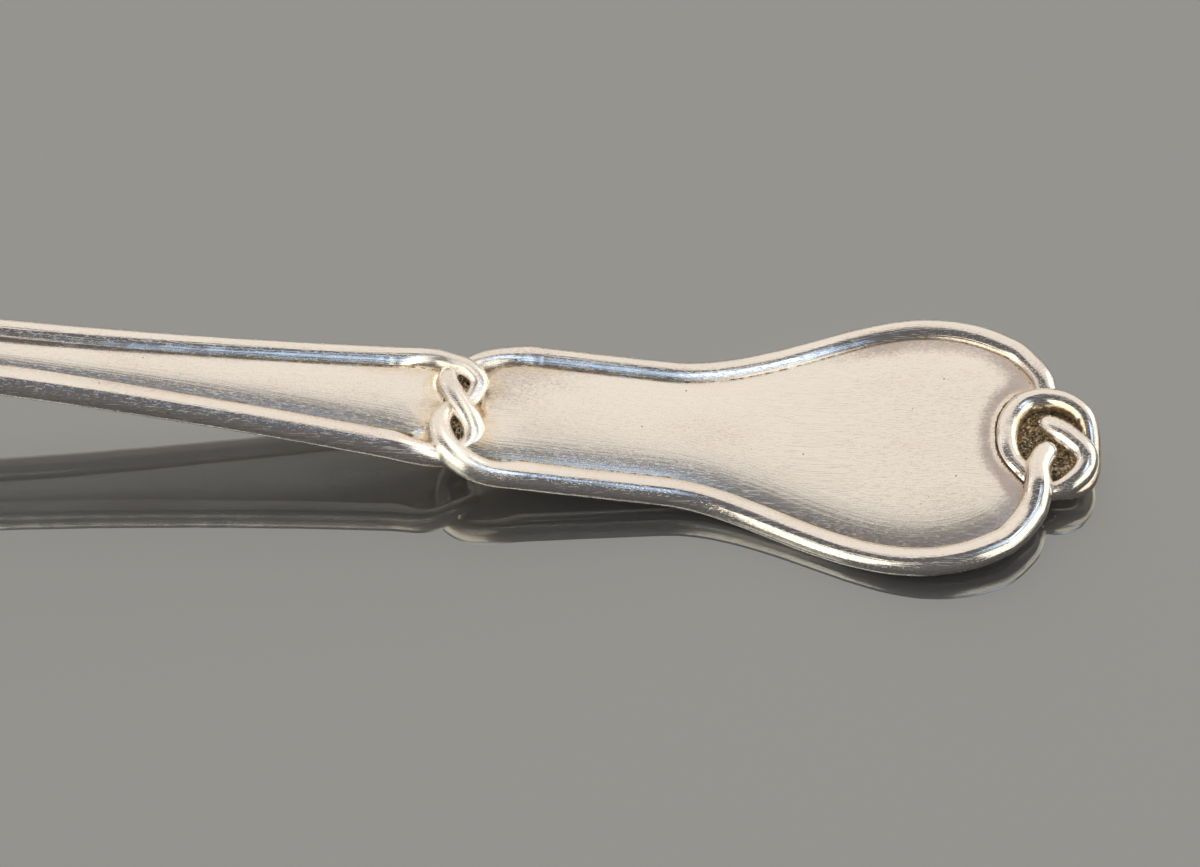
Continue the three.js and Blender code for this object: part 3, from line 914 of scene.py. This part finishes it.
from_left = twist_route(1, [
    (-1.41, 0.92, 0.2, 0.92), (-0.53, 0.85, 0.42, 0.84), (0.3, 0.76, OVER, 0.8), (0.91, 0.54, 0.3, 0.82),
    (0.68, 0.29, -0.1, 0.82), (0.1, 0.12, UNDER, 0.8), (-0.42, 0.02, UNDER / 2, 0.82),
    (-0.76, -0.16, 0.1, 0.86), (-0.9, -0.44, 0.35, 0.92), (-0.5, -0.84, OVER, 1.02),
    (0.45, -1.11, 0.4, 1.03), (1.6, -1.22, 0.12, 0.98),
])
from_right = twist_route(-1, [
    (-1.7, -0.96, 0.0, 0.94), (-0.8, -0.93, -0.2, 0.9), (0.07, -0.82, UNDER, 0.86),
    (0.66, -0.66, -0.1, 0.86), (0.8, -0.47, 0.2, 0.89), (0.59, -0.26, 0.4, 0.91), (0.18, -0.04, OVER, 0.9),
    (-0.3, 0.22, OVER, 0.88), (-0.63, 0.45, 0.3, 0.87), (-0.61, 0.66, 0.0, 0.84), (-0.2, 0.82, UNDER, 0.8),
    (0.4, 0.92, -0.25, 0.85), (1.0, 1.01, -0.05, 0.9), (1.73, 1.1, 0.0, 0.94),
])
print("twist strands", len(from_left), len(from_right), "points")

# %% Twist: the eyes between the strands
EYE_FLOOR = 0.3
EYE_X = WAIST_X + 0.1
EYE_LENGTH_SPAN = (0.5, 0.95)
EYE_WIDTH_SPAN = (3.1, 3.7)


def eye_dip(x, y):
    along = 1 - smooth_step(np.abs(x - EYE_X), *EYE_LENGTH_SPAN)
    across = 1 - smooth_step(np.abs(y), *EYE_WIDTH_SPAN)
    return along * across


def twist_distance(x, y):
    return np.minimum(distance_to(from_left, x, y), distance_to(from_right, x, y))


# %% Twist: thickness and tarnish of the wire
JOINT_OVERLAP = 0.8
JOINT_TAPER = 0.015
WIRE_HAZE = 0.12
SUNK_HAZE = 0.3
SUNK_OCHRE = 0.5


def drawn_share(line, from_end, even_span):
    drawn = 1 + (hand_drawn(line) - 1) * smooth_step(from_end, *even_span)
    return drawn * (1 - JOINT_TAPER * (1 - np.clip(from_end / JOINT_OVERLAP, 0, 1)))


def lift_of(points):
    return points[:, 2] - handle_height(points[:, 0])


def sunk_marks(points, span):
    sunk = 1 - smooth_step(lift_of(points), *span)
    return {"ochre_and_shade": SUNK_OCHRE * sunk, "haze_and_shade": WIRE_HAZE + SUNK_HAZE * sunk}


# %% Twist: strands
STRAND_EVEN_SPAN = (1, 4)
STRAND_FLANK_SPAN = (4.2, 1.5)
STRAND_SUNK_SPAN = (-0.2, 0.3)
RUBBED_SPAN = (2, 5)
twist = bpy.data.collections.new("twist")
for name, node, line, side in (
    ("twist_strand_from_left", "waist_strand_from_left", from_left, 1),
    ("twist_strand_from_right", "waist_strand_from_right", from_right, -1),
):
    reach = travelled(line)
    left_over = reach[-1] - reach
    from_end = np.minimum(reach, left_over)
    flank = side * (smooth_step(reach, *STRAND_FLANK_SPAN) - smooth_step(left_over, *STRAND_FLANK_SPAN))
    radii = line[:, 3] * drawn_share(line, from_end, STRAND_EVEN_SPAN)
    points, faces = cord_rings(line[:, :3], radii, flank=flank)
    rubbed = np.repeat(smooth_step(from_end, *RUBBED_SPAN), CORD_FACETS)
    marks = {**sunk_marks(points, STRAND_SUNK_SPAN), **drawn_marks(line), "rubbed": rubbed}
    twist.objects.link(make_piece(name, points, faces, polished, node, marks))

# %% [markdown]
# ## Stem
# The stem is a narrow plate that flares to the waist, with a cord on each edge. The cords run into the
# bowl's wall, where they are soldered. A scaled cube would be quicker, but its straight edges would stray
# from the flaring cords, so rows of points are laid from one cord to the other.

# %% Stem plate: shape
STEM_START = 24.35
STEM_FINE_X = 93
PLATE_STEP = 0.45
FINE_STEP = 0.2
PLATE_LAP = 0.6
OUTER_HALF = 3.2
PAST_WAIST = 0.3


def plate_stations(first, last, step):
    return np.linspace(first, last, round((last - first) / step) + 1)


def side_line(x, edge, strand, before):
    outer = strand[np.abs(strand[:, 1]) > OUTER_HALF]
    outer = outer[outer[:, 0] < WAIST_X] if before else outer[outer[:, 0] > WAIST_X + PAST_WAIST]
    outer = outer[np.argsort(outer[:, 0])]
    beside = x >= outer[0, 0] if before else x <= outer[-1, 0]
    return np.where(beside, np.interp(x, outer[:, 0], outer[:, 1]), edge)


stations = np.concatenate([
    plate_stations(STEM_START, STEM_FINE_X, PLATE_STEP),
    plate_stations(STEM_FINE_X + FINE_STEP, WAIST_X + PLATE_LAP, FINE_STEP),
])
stem_left = side_line(stations, stem_edge(stations), from_left, before=True)
stem_right = side_line(stations, -stem_edge(stations), from_right, before=True)
stem_x, stem_y = plate_grid(stations, stem_left, stem_right)
left_away = distance_to(np.stack([stations, stem_left], -1), stem_x, stem_y)
right_away = distance_to(np.stack([stations, stem_right], -1), stem_x, stem_y)
dip = eye_dip(stem_x, stem_y)
top = plate_top(left_away, right_away) * (1 - dip) + EYE_FLOOR * dip
print("stem plate up to", round(float(top.max()), 2), "mm above the middle of the handle")

# %% Stem plate: marks
GROOVE_GRIME = 0.47
GROOVE_OCHRE = 0.8
TWIST_OCHRE = 0.7
STEM_OCHRE_SPAN = (0.9, 2.6)
STEM_HAZE = 0.1
STEM_EDGE_HAZE = 0.4
STEM_EDGE_SPAN = (1.0, 1.9)
away = np.minimum(left_away, right_away)
by_groove = groove_line(away)
by_twist = 1 - smooth_step(twist_distance(stem_x, stem_y), *STEM_OCHRE_SPAN)
stem_marks = {
    "grime_and_shade": np.maximum(GROOVE_GRIME * by_groove, dip),
    "ochre_and_shade": TWIST_OCHRE * by_twist + GROOVE_OCHRE * by_groove,
    "haze_and_shade": STEM_HAZE + STEM_EDGE_HAZE * (1 - smooth_step(away, *STEM_EDGE_SPAN)),
}
make_plate("stem_plate", "stem_panel", stem_x, stem_y, top, {**stem_marks, **brushed_marks(stem_x, away)})

# %% Edge cords: tarnish and painted shade
CORD_HAZE = 0.1
LOW_HAZE_AND_SHADE = 0.45
LOW_SPAN = (-0.6, 0.5)
INNER_SPAN = (0.3, 0.95)
INNER_FLANK_SHADE = 0.3
INNER_FLANK_WARM_SHADE = 0.3


def cord_marks(points, side):
    lift = lift_of(points)
    turn = np.tile(CORD_TURN, len(points) // CORD_FACETS)
    # The upper inner flank gets grey and warm tints as painted shade.
    inner = smooth_step(np.cos(turn) * side, *INNER_SPAN) * (lift > 0)
    # The lower half of each cord gets more haze: partly tarnish, partly painted shade.
    haze_and_shade = CORD_HAZE + LOW_HAZE_AND_SHADE * (1 - smooth_step(lift, *LOW_SPAN)) + INNER_FLANK_SHADE * inner
    return {"haze_and_shade": haze_and_shade, "ochre_and_shade": INNER_FLANK_WARM_SHADE * inner}


# %% Stem cords
CORD_EVEN_SPAN = (1, 5)
SOLDER_DIP = 0.1
SOLDER_SPAN = (STEM_START, 27)
STEM_FLANK = 1.4
STEM_FLANK_LOSS = 0.4
STEM_FLANK_SPAN = (66, 82)
cord_x = plate_stations(STEM_START, WAIST_X - TWIST_REACH + JOINT_LAP, FINE_STEP)
solder_dip = SOLDER_DIP * (1 - smooth_step(cord_x, *SOLDER_SPAN))
for name, node, side in (
    ("stem_cord_left_drawn", "stem_cord_left", 1),
    ("stem_cord_right_drawn", "stem_cord_right", -1),
):
    line = on_handle(cord_x, side * stem_edge(cord_x), -solder_dip)
    left_over = travelled(line)[-1] - travelled(line)
    flank = side * (STEM_FLANK - STEM_FLANK_LOSS * smooth_step(cord_x, *STEM_FLANK_SPAN))
    radii = CORD_RADIUS * drawn_share(line, left_over, CORD_EVEN_SPAN)
    points, faces = cord_rings(line, radii, flank=flank)
    marks = {**cord_marks(points, side), **drawn_marks(line, -side, 1.0)}
    make_piece(name, points, faces, polished, node, marks)

# %% [markdown]
# ## Knot at the tip
# One cord of the palette ends under a big loop. The other climbs over the loop, and a hook springs from
# inside the loop, crosses its end and curls back. The floor between them is rough and dark, because no
# cloth reaches it, and yellow tarnish creeps from it up the inner side of the loop. A torus could stand for
# the loop, but it would lie flat. Points with a height of their own lead each wire over or under the next.

# %% Knot: routes
KNOT_HALF_LENGTH = 3.35
KNOT_HALF_WIDTH = 3.85


def knot_points(points):
    along, across, lift, radius = np.array(points, float).T
    return wire_points(KNOT_X + along * KNOT_HALF_LENGTH, across * KNOT_HALF_WIDTH, lift, radius)


loop_line = smooth_route(knot_points([
    (-0.14, -1.13, -0.4, 0.78), (-0.3, -1.02, -0.22, 0.82), (-0.45, -0.88, -0.05, 0.86),
    (-0.63, -0.7, 0.05, 0.9), (-0.83, -0.47, 0.15, 0.93), (-0.93, -0.22, 0.28, 0.94),
    (-0.94, 0.19, 0.4, 0.94), (-0.83, 0.53, 0.47, 0.94), (-0.56, 0.81, OVER, 0.93),
    (-0.26, 0.9, OVER, 0.92), (-0.02, 0.91, OVER, 0.91), (0.3, 0.84, OVER, 0.9), (0.54, 0.72, 0.42, 0.88),
    (0.73, 0.56, 0.3, 0.86), (0.84, 0.36, 0.1, 0.84), (0.9, 0.1, -0.25, 0.82), (0.92, -0.25, -0.6, 0.8),
    (0.9, -0.6, -0.75, 0.8), (0.74, -0.88, -0.8, 0.78), (0.4, -1.0, -0.8, 0.75), (0.0, -1.0, -0.75, 0.7),
]), WIRE_STEP)
hook_line = smooth_route(knot_points([
    (-0.14, 0.5, -0.35, 0.74), (-0.1, 0.41, 0.05, 0.78), (0.0, 0.31, 0.35, 0.88), (0.26, 0.11, OVER, 0.98),
    (0.55, -0.14, OVER, 0.97), (0.75, -0.35, 0.45, 0.92), (0.8, -0.55, 0.35, 0.88),
    (0.71, -0.78, 0.2, 0.85), (0.51, -0.95, 0.0, 0.82), (0.29, -1.06, -0.2, 0.78),
    (0.05, -1.1, -0.35, 0.74), (-0.18, -1.08, -0.4, 0.7),
]), WIRE_STEP)
print("knot wires", len(loop_line), len(hook_line), "points")

# %% Knot: dirt on the loop
TUCKED_SPAN = (1.9, 3.4)
TUCKED_GRIME = 0.5
CRUSTED_SPAN = (0.08, 0.2)
CRUSTED_LIFT = (0.75, 1.2)
CRUSTED_GRIME = 0.58
STAINED_SPAN = (0.02, 0.12)
STAINED_LIFT = (1.0, 1.4)
STAINED_OCHRE = 0.9


def knot_reach(x, y):
    return np.hypot((x - KNOT_X) / KNOT_HALF_LENGTH, y / KNOT_HALF_WIDTH)


def add_loop_dirt(marks, points):
    lift = lift_of(points)
    inside = np.repeat(knot_reach(*loop_line[:, :2].T), CORD_FACETS) - knot_reach(*points[:, :2].T)
    tucked = np.repeat(1 - smooth_step(travelled(loop_line), *TUCKED_SPAN), CORD_FACETS)
    crusty = smooth_step(inside, *CRUSTED_SPAN) * (1 - smooth_step(lift, *CRUSTED_LIFT))
    stained = smooth_step(inside, *STAINED_SPAN) * (1 - smooth_step(lift, *STAINED_LIFT))
    marks["grime_and_shade"] = np.maximum(TUCKED_GRIME * tucked, CRUSTED_GRIME * crusty)
    marks["ochre_and_shade"] = np.maximum(marks["ochre_and_shade"], STAINED_OCHRE * stained)


# %% Knot: loop and hook
KNOT_SUNK_SPAN = (-0.3, 0.45)
for name, node, line in (("knot_loop", "tip_loop", loop_line), ("knot_hook", "tip_hook", hook_line)):
    points, faces = cord_rings(line[:, :3], line[:, 3] * hand_drawn(line), round_start=True, round_end=True)
    marks = {**sunk_marks(points, KNOT_SUNK_SPAN), **drawn_marks(line)}
    if line is loop_line:
        add_loop_dirt(marks, points)
    make_piece(name, points, faces, polished, node, marks)

# %% [markdown]
# ## Palette
# The palette is the flat end that a hand holds. Its cords run round the wide end into the knot, so they are
# bent first, and the plate between them is fitted to their lines. Brushing, scratches and haze tell of its
# use.

# %% Palette cords: routes
LEFT_END_ANGLE = 0.78
RIGHT_END_ANGLE = 0.95
SIDE_SPACING = 1.2
TURN_SPACING = 0.1
CORD_STEP = 0.22


def palette_route(side, end_angle, end):
    x = np.arange(WAIST_X + TWIST_REACH - JOINT_LAP, WIDEST_X, SIDE_SPACING)
    turn = np.arange(math.pi / 2, end_angle, -TURN_SPACING)
    round_x = WIDEST_X + PALETTE_END_LENGTH * np.cos(turn)
    return smooth_route(np.vstack([
        wire_points(x, side * palette_side(x), 0, CORD_RADIUS),
        wire_points(round_x, side * PALETTE_SPACING / 2 * np.sin(turn), 0, CORD_RADIUS),
        knot_points(end),
    ]), CORD_STEP)


left_line = palette_route(1, LEFT_END_ANGLE, [
    (-0.15, 1.51, 0, 0.95), (-0.07, 1.27, -0.1, 0.93), (0.0, 0.95, -0.3, 0.9),
])
right_line = palette_route(-1, RIGHT_END_ANGLE, [
    (-0.42, -1.73, 0.1, 1.0), (-0.3, -1.39, 0.3, 1.05), (-0.27, -1.09, OVER, 1.08),
    (-0.27, -0.75, OVER, 1.08), (-0.2, -0.52, 0.45, 1.05), (-0.06, -0.32, 0.3, 1.02),
    (0.08, -0.17, 0.0, 0.98),
])
print("palette cords", len(left_line), len(right_line), "points")

# %% Palette cords
PITTED_SPAN = (118, 123)
ROUNDED_SPAN = (3, 7)
for name, node, line, side in (
    ("palette_cord_left_drawn", "palette_cord_left", left_line, 1),
    ("palette_cord_right_drawn", "palette_cord_right", right_line, -1),
):
    reach = travelled(line)
    flank = side * smooth_step(reach[-1] - reach, *ROUNDED_SPAN)
    radii = line[:, 3] * drawn_share(line, reach, CORD_EVEN_SPAN)
    points, faces = cord_rings(line[:, :3], radii, round_end=True, flank=flank)
    pitted = 1 - smooth_step(line[:, 0], *PITTED_SPAN)
    marks = {**cord_marks(points, side), **drawn_marks(line, -side, pitted)}
    make_piece(name, points, faces, polished, node, marks)

# %% Palette plate: edges
PALETTE_FINE_X = 104
PALETTE_CURVE_X = 137
PALETTE_LAST = 143.0
CURVE_STEP = 0.15
KNOT_EDGE_Y = -3
CURVE_START = WIDEST_X + 1
tail = right_line[right_line[:, 0] > WIDEST_X]
tail = tail[:int(np.argmax(tail[:, 1] > KNOT_EDGE_Y))]
crest = left_line[left_line[:, 0] > WIDEST_X]
stations = np.concatenate([
    plate_stations(WAIST_X - PLATE_LAP, PALETTE_FINE_X, FINE_STEP),
    plate_stations(PALETTE_FINE_X + 2 * FINE_STEP, PALETTE_CURVE_X, PLATE_STEP),
    plate_stations(PALETTE_CURVE_X + 2 * CURVE_STEP, PALETTE_LAST, CURVE_STEP),
])
in_curve = stations > CURVE_START
left_side = side_line(stations, palette_edge(stations), from_right, before=False)
right_side = side_line(stations, -palette_edge(stations), from_left, before=False)
left_side = np.where(in_curve, np.interp(stations, crest[:, 0], crest[:, 1]), left_side)
right_side = np.where(in_curve, np.interp(stations, tail[:, 0], tail[:, 1]), right_side)
left_edge = np.vstack([np.stack([stations, left_side], -1)[~in_curve], crest[:, :2]])
right_edge = np.vstack([np.stack([stations, right_side], -1)[~in_curve], tail[:, :2]])
print("palette plate", round(float((left_side - right_side).max()), 2), "mm between its cords")

# %% Palette plate: shape
KNOT_DIP_SPAN = (0.8, 0.95)
KNOT_LEVEL = 0.02
palette_x, palette_y = plate_grid(stations, left_side, right_side)
left_away, right_away = (distance_to(edge, palette_x, palette_y) for edge in (left_edge, right_edge))
dip = eye_dip(palette_x, palette_y)
knot_dip = 1 - smooth_step(knot_reach(palette_x, palette_y), *KNOT_DIP_SPAN)
top = plate_top(left_away, right_away) * (1 - dip) + EYE_FLOOR * dip
top = top * (1 - knot_dip) + KNOT_LEVEL * knot_dip
print("palette plate up to", round(float(top.max()), 2), "mm above the middle of the handle")

# %% Palette plate: painted contact shadow, tarnish and haze round the loop
LOOP_RADIUS = 0.9
LOOP_CONTACT_SHADE = 0.8
LOOP_CONTACT_SHADE_SPAN = (0.02, 0.17)
LOOP_OCHRE = 0.45
LOOP_OCHRE_SPAN = (0.2, 0.6)
LOOP_HAZE = 0.8
LOOP_HAZE_START = (0.25, 0.5)
LOOP_HAZE_END = (0.6, 1.9)
by_loop = distance_to(loop_line, palette_x, palette_y) - LOOP_RADIUS
# A thin dark line right against the loop is a painted contact shadow, carried in the grime mark.
loop_contact_shade = LOOP_CONTACT_SHADE * (1 - smooth_step(by_loop, *LOOP_CONTACT_SHADE_SPAN))
loop_ochre = LOOP_OCHRE * (1 - smooth_step(by_loop, *LOOP_OCHRE_SPAN))
loop_haze = LOOP_HAZE * smooth_step(by_loop, *LOOP_HAZE_START) * (1 - smooth_step(by_loop, *LOOP_HAZE_END))
print("dirt by the loop on", int((loop_contact_shade > 0).sum()), "points")

# %% Palette plate: marks
EDGE_HAZE = 0.75
EDGE_HAZE_SPAN = (1.5, 3.3)
WIDE_END_SPAN = (122, 134)
NECK_HAZE = 0.42
NECK_SPAN = (104, 117)
NECK_LEFT_SPAN = (-1, 3.5)
PALETTE_HAZE = 0.04
PALETTE_OCHRE_SPAN = (0.9, 2.4)
away = np.minimum(left_away, right_away)
by_groove = groove_line(away)
by_twist = 1 - smooth_step(twist_distance(palette_x, palette_y), *PALETTE_OCHRE_SPAN)
edge_haze = EDGE_HAZE * (1 - smooth_step(away, *EDGE_HAZE_SPAN)) * smooth_step(palette_x, *WIDE_END_SPAN)
neck_haze = NECK_HAZE * (1 - smooth_step(palette_x, *NECK_SPAN)) * smooth_step(palette_y, *NECK_LEFT_SPAN)
palette_marks = {
    "grime_and_shade": np.maximum.reduce([GROOVE_GRIME * by_groove, dip, knot_dip, loop_contact_shade]),
    "ochre_and_shade": np.clip(TWIST_OCHRE * by_twist + GROOVE_OCHRE * by_groove + loop_ochre, 0, 1),
    "haze_and_shade": np.clip(PALETTE_HAZE + loop_haze + edge_haze + neck_haze, 0, 1),
}
palette_marks.update(brushed_marks(palette_x, away))
make_plate("palette_plate", "palette_panel", palette_x, palette_y, top, palette_marks)

# %% [markdown]
# ## Dirt in the gaps
# No cloth reaches the small gaps between the strands. Their floors are lumpy and crusted with old polish
# and dirt, so each floor is a thin lens with a rough top instead of a dark colour on the plate.

# %% Lumps of dirt
FLOOR_TURNS = 120
FLOOR_RINGS = 44
LUMPS_PER_MM = 3.1
LUMP_ROW = 7.1
LUMP_DETAIL = (0.7, 2.1, 5)


def floor_lumps(x, y):
    spots = zip(x.ravel() * LUMPS_PER_MM, y.ravel() * LUMPS_PER_MM)
    return np.array([noise.fractal((a, b, LUMP_ROW), *LUMP_DETAIL) for a, b in spots]).reshape(x.shape)


# %% Crusted floors
LUMP_FADE = 6
FLOOR_FADE = 8
FLOOR_FALL = 0.5
FLOOR_BACK = 0.1
BACK_RISE = 0.3
BACK_LUMPS = 0.5


def crusted_floor(name, centre, half_length, half_width, lift, lumpiness):
    turn = np.linspace(0, 2 * math.pi, FLOOR_TURNS, endpoint=False)
    out = np.linspace(0, 1, FLOOR_RINGS)[:, None]
    x = centre + half_length * out * np.cos(turn)
    y = half_width * out * np.sin(turn)
    lumps = lumpiness * floor_lumps(x, y) * (1 - out ** LUMP_FADE)
    edge = out ** FLOOR_FADE
    upper = on_handle(x, y, lift - FLOOR_FALL * edge + lumps)
    lower = on_handle(x, y, -lift - FLOOR_BACK + BACK_RISE * edge - BACK_LUMPS * lumps)
    below = FLOOR_TURNS * (FLOOR_RINGS - 1)
    points = np.vstack([upper[1:].reshape(-1, 3), lower[1:].reshape(-1, 3), upper[0, :1], lower[0, :1]])
    rings = [np.arange(FLOOR_TURNS) + FLOOR_TURNS * i for i in range(FLOOR_RINGS - 1)]
    faces = joined(rings[-1], rings[-1] + below)
    for inner, outer in zip(rings, rings[1:]):
        faces += joined(inner, outer) + joined(outer + below, inner + below)
    for first, middle in ((rings[0], 2 * below), (rings[0] + below, 2 * below + 1)):
        faces += [[int(a), int(b), middle] for a, b in zip(first, np.roll(first, -1))]
    make_piece(name, points, faces, crusted, None, {})


crusted_floor("knot_floor", KNOT_X, half_length=2.9, half_width=3.4, lift=0.28, lumpiness=0.13)
crusted_floor("twist_floor", EYE_X, half_length=1.1, half_width=3.6, lift=0.34, lumpiness=0.08)

# %% [markdown]
# ## Table and light
# The spoon lies on a plain pale table that mirrors it a little. Silver shows only what it reflects, so a
# wide warm panel behind the spoon lights the flat faces, cool panels above draw the blue lines along the
# cords, and two low bright panels beside the lens pick out the slopes that face it. The warm panel lights
# the table too. The others light the spoon alone, because their edges would show in the polished table. Two
# soft-edged panels are seen in the table's polish alone, and the undersides of the near cords pick up their
# glow from there. A small soft card close above the twist takes the black out of its reflections, and the
# long cords keep theirs.

# %% Table
TABLE_HALF = 3.0
TABLE_GAP = 0.02
TABLE_COLOUR = (0.43, 0.43, 0.427, 1)
TABLE_ROUGHNESS = 0.5
POLISH_COLOUR = (0.462, 0.49, 0.503, 1)
POLISH_ROUGHNESS = 0.02
POLISH_SHARE = 0.5
corners = [(TABLE_HALF * x, TABLE_HALF * y, 0) for x, y in ((-1, -1), (1, -1), (1, 1), (-1, 1))]
table_mesh = bpy.data.meshes.new("table")
table_mesh.from_pydata(corners, [], [(0, 1, 2, 3)])
table = bpy.data.objects.new("table", table_mesh)
table.location.z = -TABLE_GAP * MM
bpy.context.scene.collection.objects.link(table)
table_finish, tree, shader = new_finish("pale_table")
shader.inputs["Base Color"].default_value = TABLE_COLOUR
shader.inputs["Roughness"].default_value = TABLE_ROUGHNESS
polish = tree.nodes.new("ShaderNodeBsdfGlossy")
polish.inputs["Color"].default_value = POLISH_COLOUR
polish.inputs["Roughness"].default_value = POLISH_ROUGHNESS
both = tree.nodes.new("ShaderNodeMixShader")
both.inputs["Fac"].default_value = POLISH_SHARE
tree.links.new(shader.outputs[0], both.inputs[1])
tree.links.new(polish.outputs[0], both.inputs[2])
tree.links.new(both.outputs[0], tree.nodes["Material Output"].inputs["Surface"])
table_mesh.materials.append(table_finish)
table_top = bpy.data.collections.new("table_top")
table_top.objects.link(table)
print("table", 2 * TABLE_HALF, "m wide")

# %% Light panels
LIT_SPOT = Vector((0.115, 0, 0))


def soft_edges(lamp, margin):
    lamp.use_nodes = True
    tree = lamp.node_tree
    across = tree.nodes.new("ShaderNodeSeparateXYZ")
    tree.links.new(tree.nodes.new("ShaderNodeNewGeometry").outputs["Parametric"], across.inputs[0])
    fade = 1.0
    for axis in "XY":
        from_middle = math_node(tree, "ABSOLUTE", math_node(tree, "SUBTRACT", across.outputs[axis], 0.5))
        fade = math_node(tree, "MULTIPLY", fade, ramp(tree, from_middle, 0.5 - margin, 0.5, 1, 0))
    tree.links.new(fade, tree.nodes["Emission"].inputs["Strength"])


def light_panel(name, over, aside, distance, width, height, colour, radiance,
                shines_on=None, margin=0, spot=LIT_SPOT):
    lamp = bpy.data.lights.new(name, "AREA")
    lamp.shape = "RECTANGLE"
    lamp.size, lamp.size_y = width, height
    lamp.energy = radiance * math.pi * width * height
    lamp.color = colour
    panel = bpy.data.objects.new(name, lamp)
    rise, turn = math.radians(over), math.radians(aside)
    out = Vector((math.sin(turn), math.cos(turn) * math.cos(rise), math.cos(turn) * math.sin(rise)))
    panel.location = spot + out * distance
    panel.rotation_euler = out.to_track_quat("Z", "Y").to_euler()
    panel.visible_camera = False
    if shines_on:
        panel.light_linking.receiver_collection = shines_on
    if margin:
        soft_edges(lamp, margin)
        panel.visible_diffuse = False
    bpy.context.scene.collection.objects.link(panel)
    print(name, [round(v, 3) for v in panel.location])


# %% [markdown]
# Each panel has two angles in degrees, over the back of the spoon and to its side, then its distance, width
# and height in metres, its colour and its brightness. Some also name what they shine on, the share of a soft
# edge and the spot that they hang over.

# %% Light
CARD_X = WAIST_X + 0.8
light_panel("warm_back", 34, 0, 1.6, 4.6, 2.1, (1.0, 0.93, 0.825), 0.79)
light_panel("cool_above", 97, 22, 1.5, 0.58, 0.7, (0.44, 0.67, 1.0), 1.0, spoon)
light_panel("cool_strip", 91, 21, 1.4, 0.5, 0.2, (0.80, 0.90, 1.0), 1.5, spoon)
light_panel("front_left", 143, -44, 1.6, 1.6, 1.9, (1.0, 0.96, 0.8), 1.6, spoon)
light_panel("front_right", 144, 50, 1.6, 1.4, 1.9, (1.0, 0.96, 0.82), 1.35, spoon)
light_panel("side_left", 70, -78, 1.6, 1.6, 1.4, (1.0, 0.95, 0.87), 0.7, spoon)
light_panel("side_right", 40, 62, 1.6, 1.8, 1.4, (1.0, 0.96, 0.84), 1.35, spoon)
light_panel("table_front", 140, -42, 1.6, 1.1, 1.7, (1.0, 0.96, 0.8), 2.8, table_top, 0.2)
light_panel("table_above", 100, -8, 1.5, 0.8, 0.5, (1.0, 0.97, 0.86), 2.8, table_top, 0.2)
card_spot = Vector((CARD_X, 0, float(handle_height(WAIST_X)))) * MM
light_panel("twist_card", 102, 0, 0.01, 0.008, 0.024, (1.0, 0.96, 0.86), 1.2, twist, 0.35, card_spot)

# %% Soft light all round
STUDIO_COLOUR = (0.26, 0.26, 0.275, 1)
STUDIO_STRENGTH = 0.5
world = bpy.data.worlds.new("studio")
bpy.context.scene.world = world
world.use_nodes = True
background = world.node_tree.nodes["Background"]
background.inputs["Color"].default_value = STUDIO_COLOUR
background.inputs["Strength"].default_value = STUDIO_STRENGTH
bpy.context.scene.view_settings.view_transform = "Standard"
print("studio light of", STUDIO_STRENGTH)
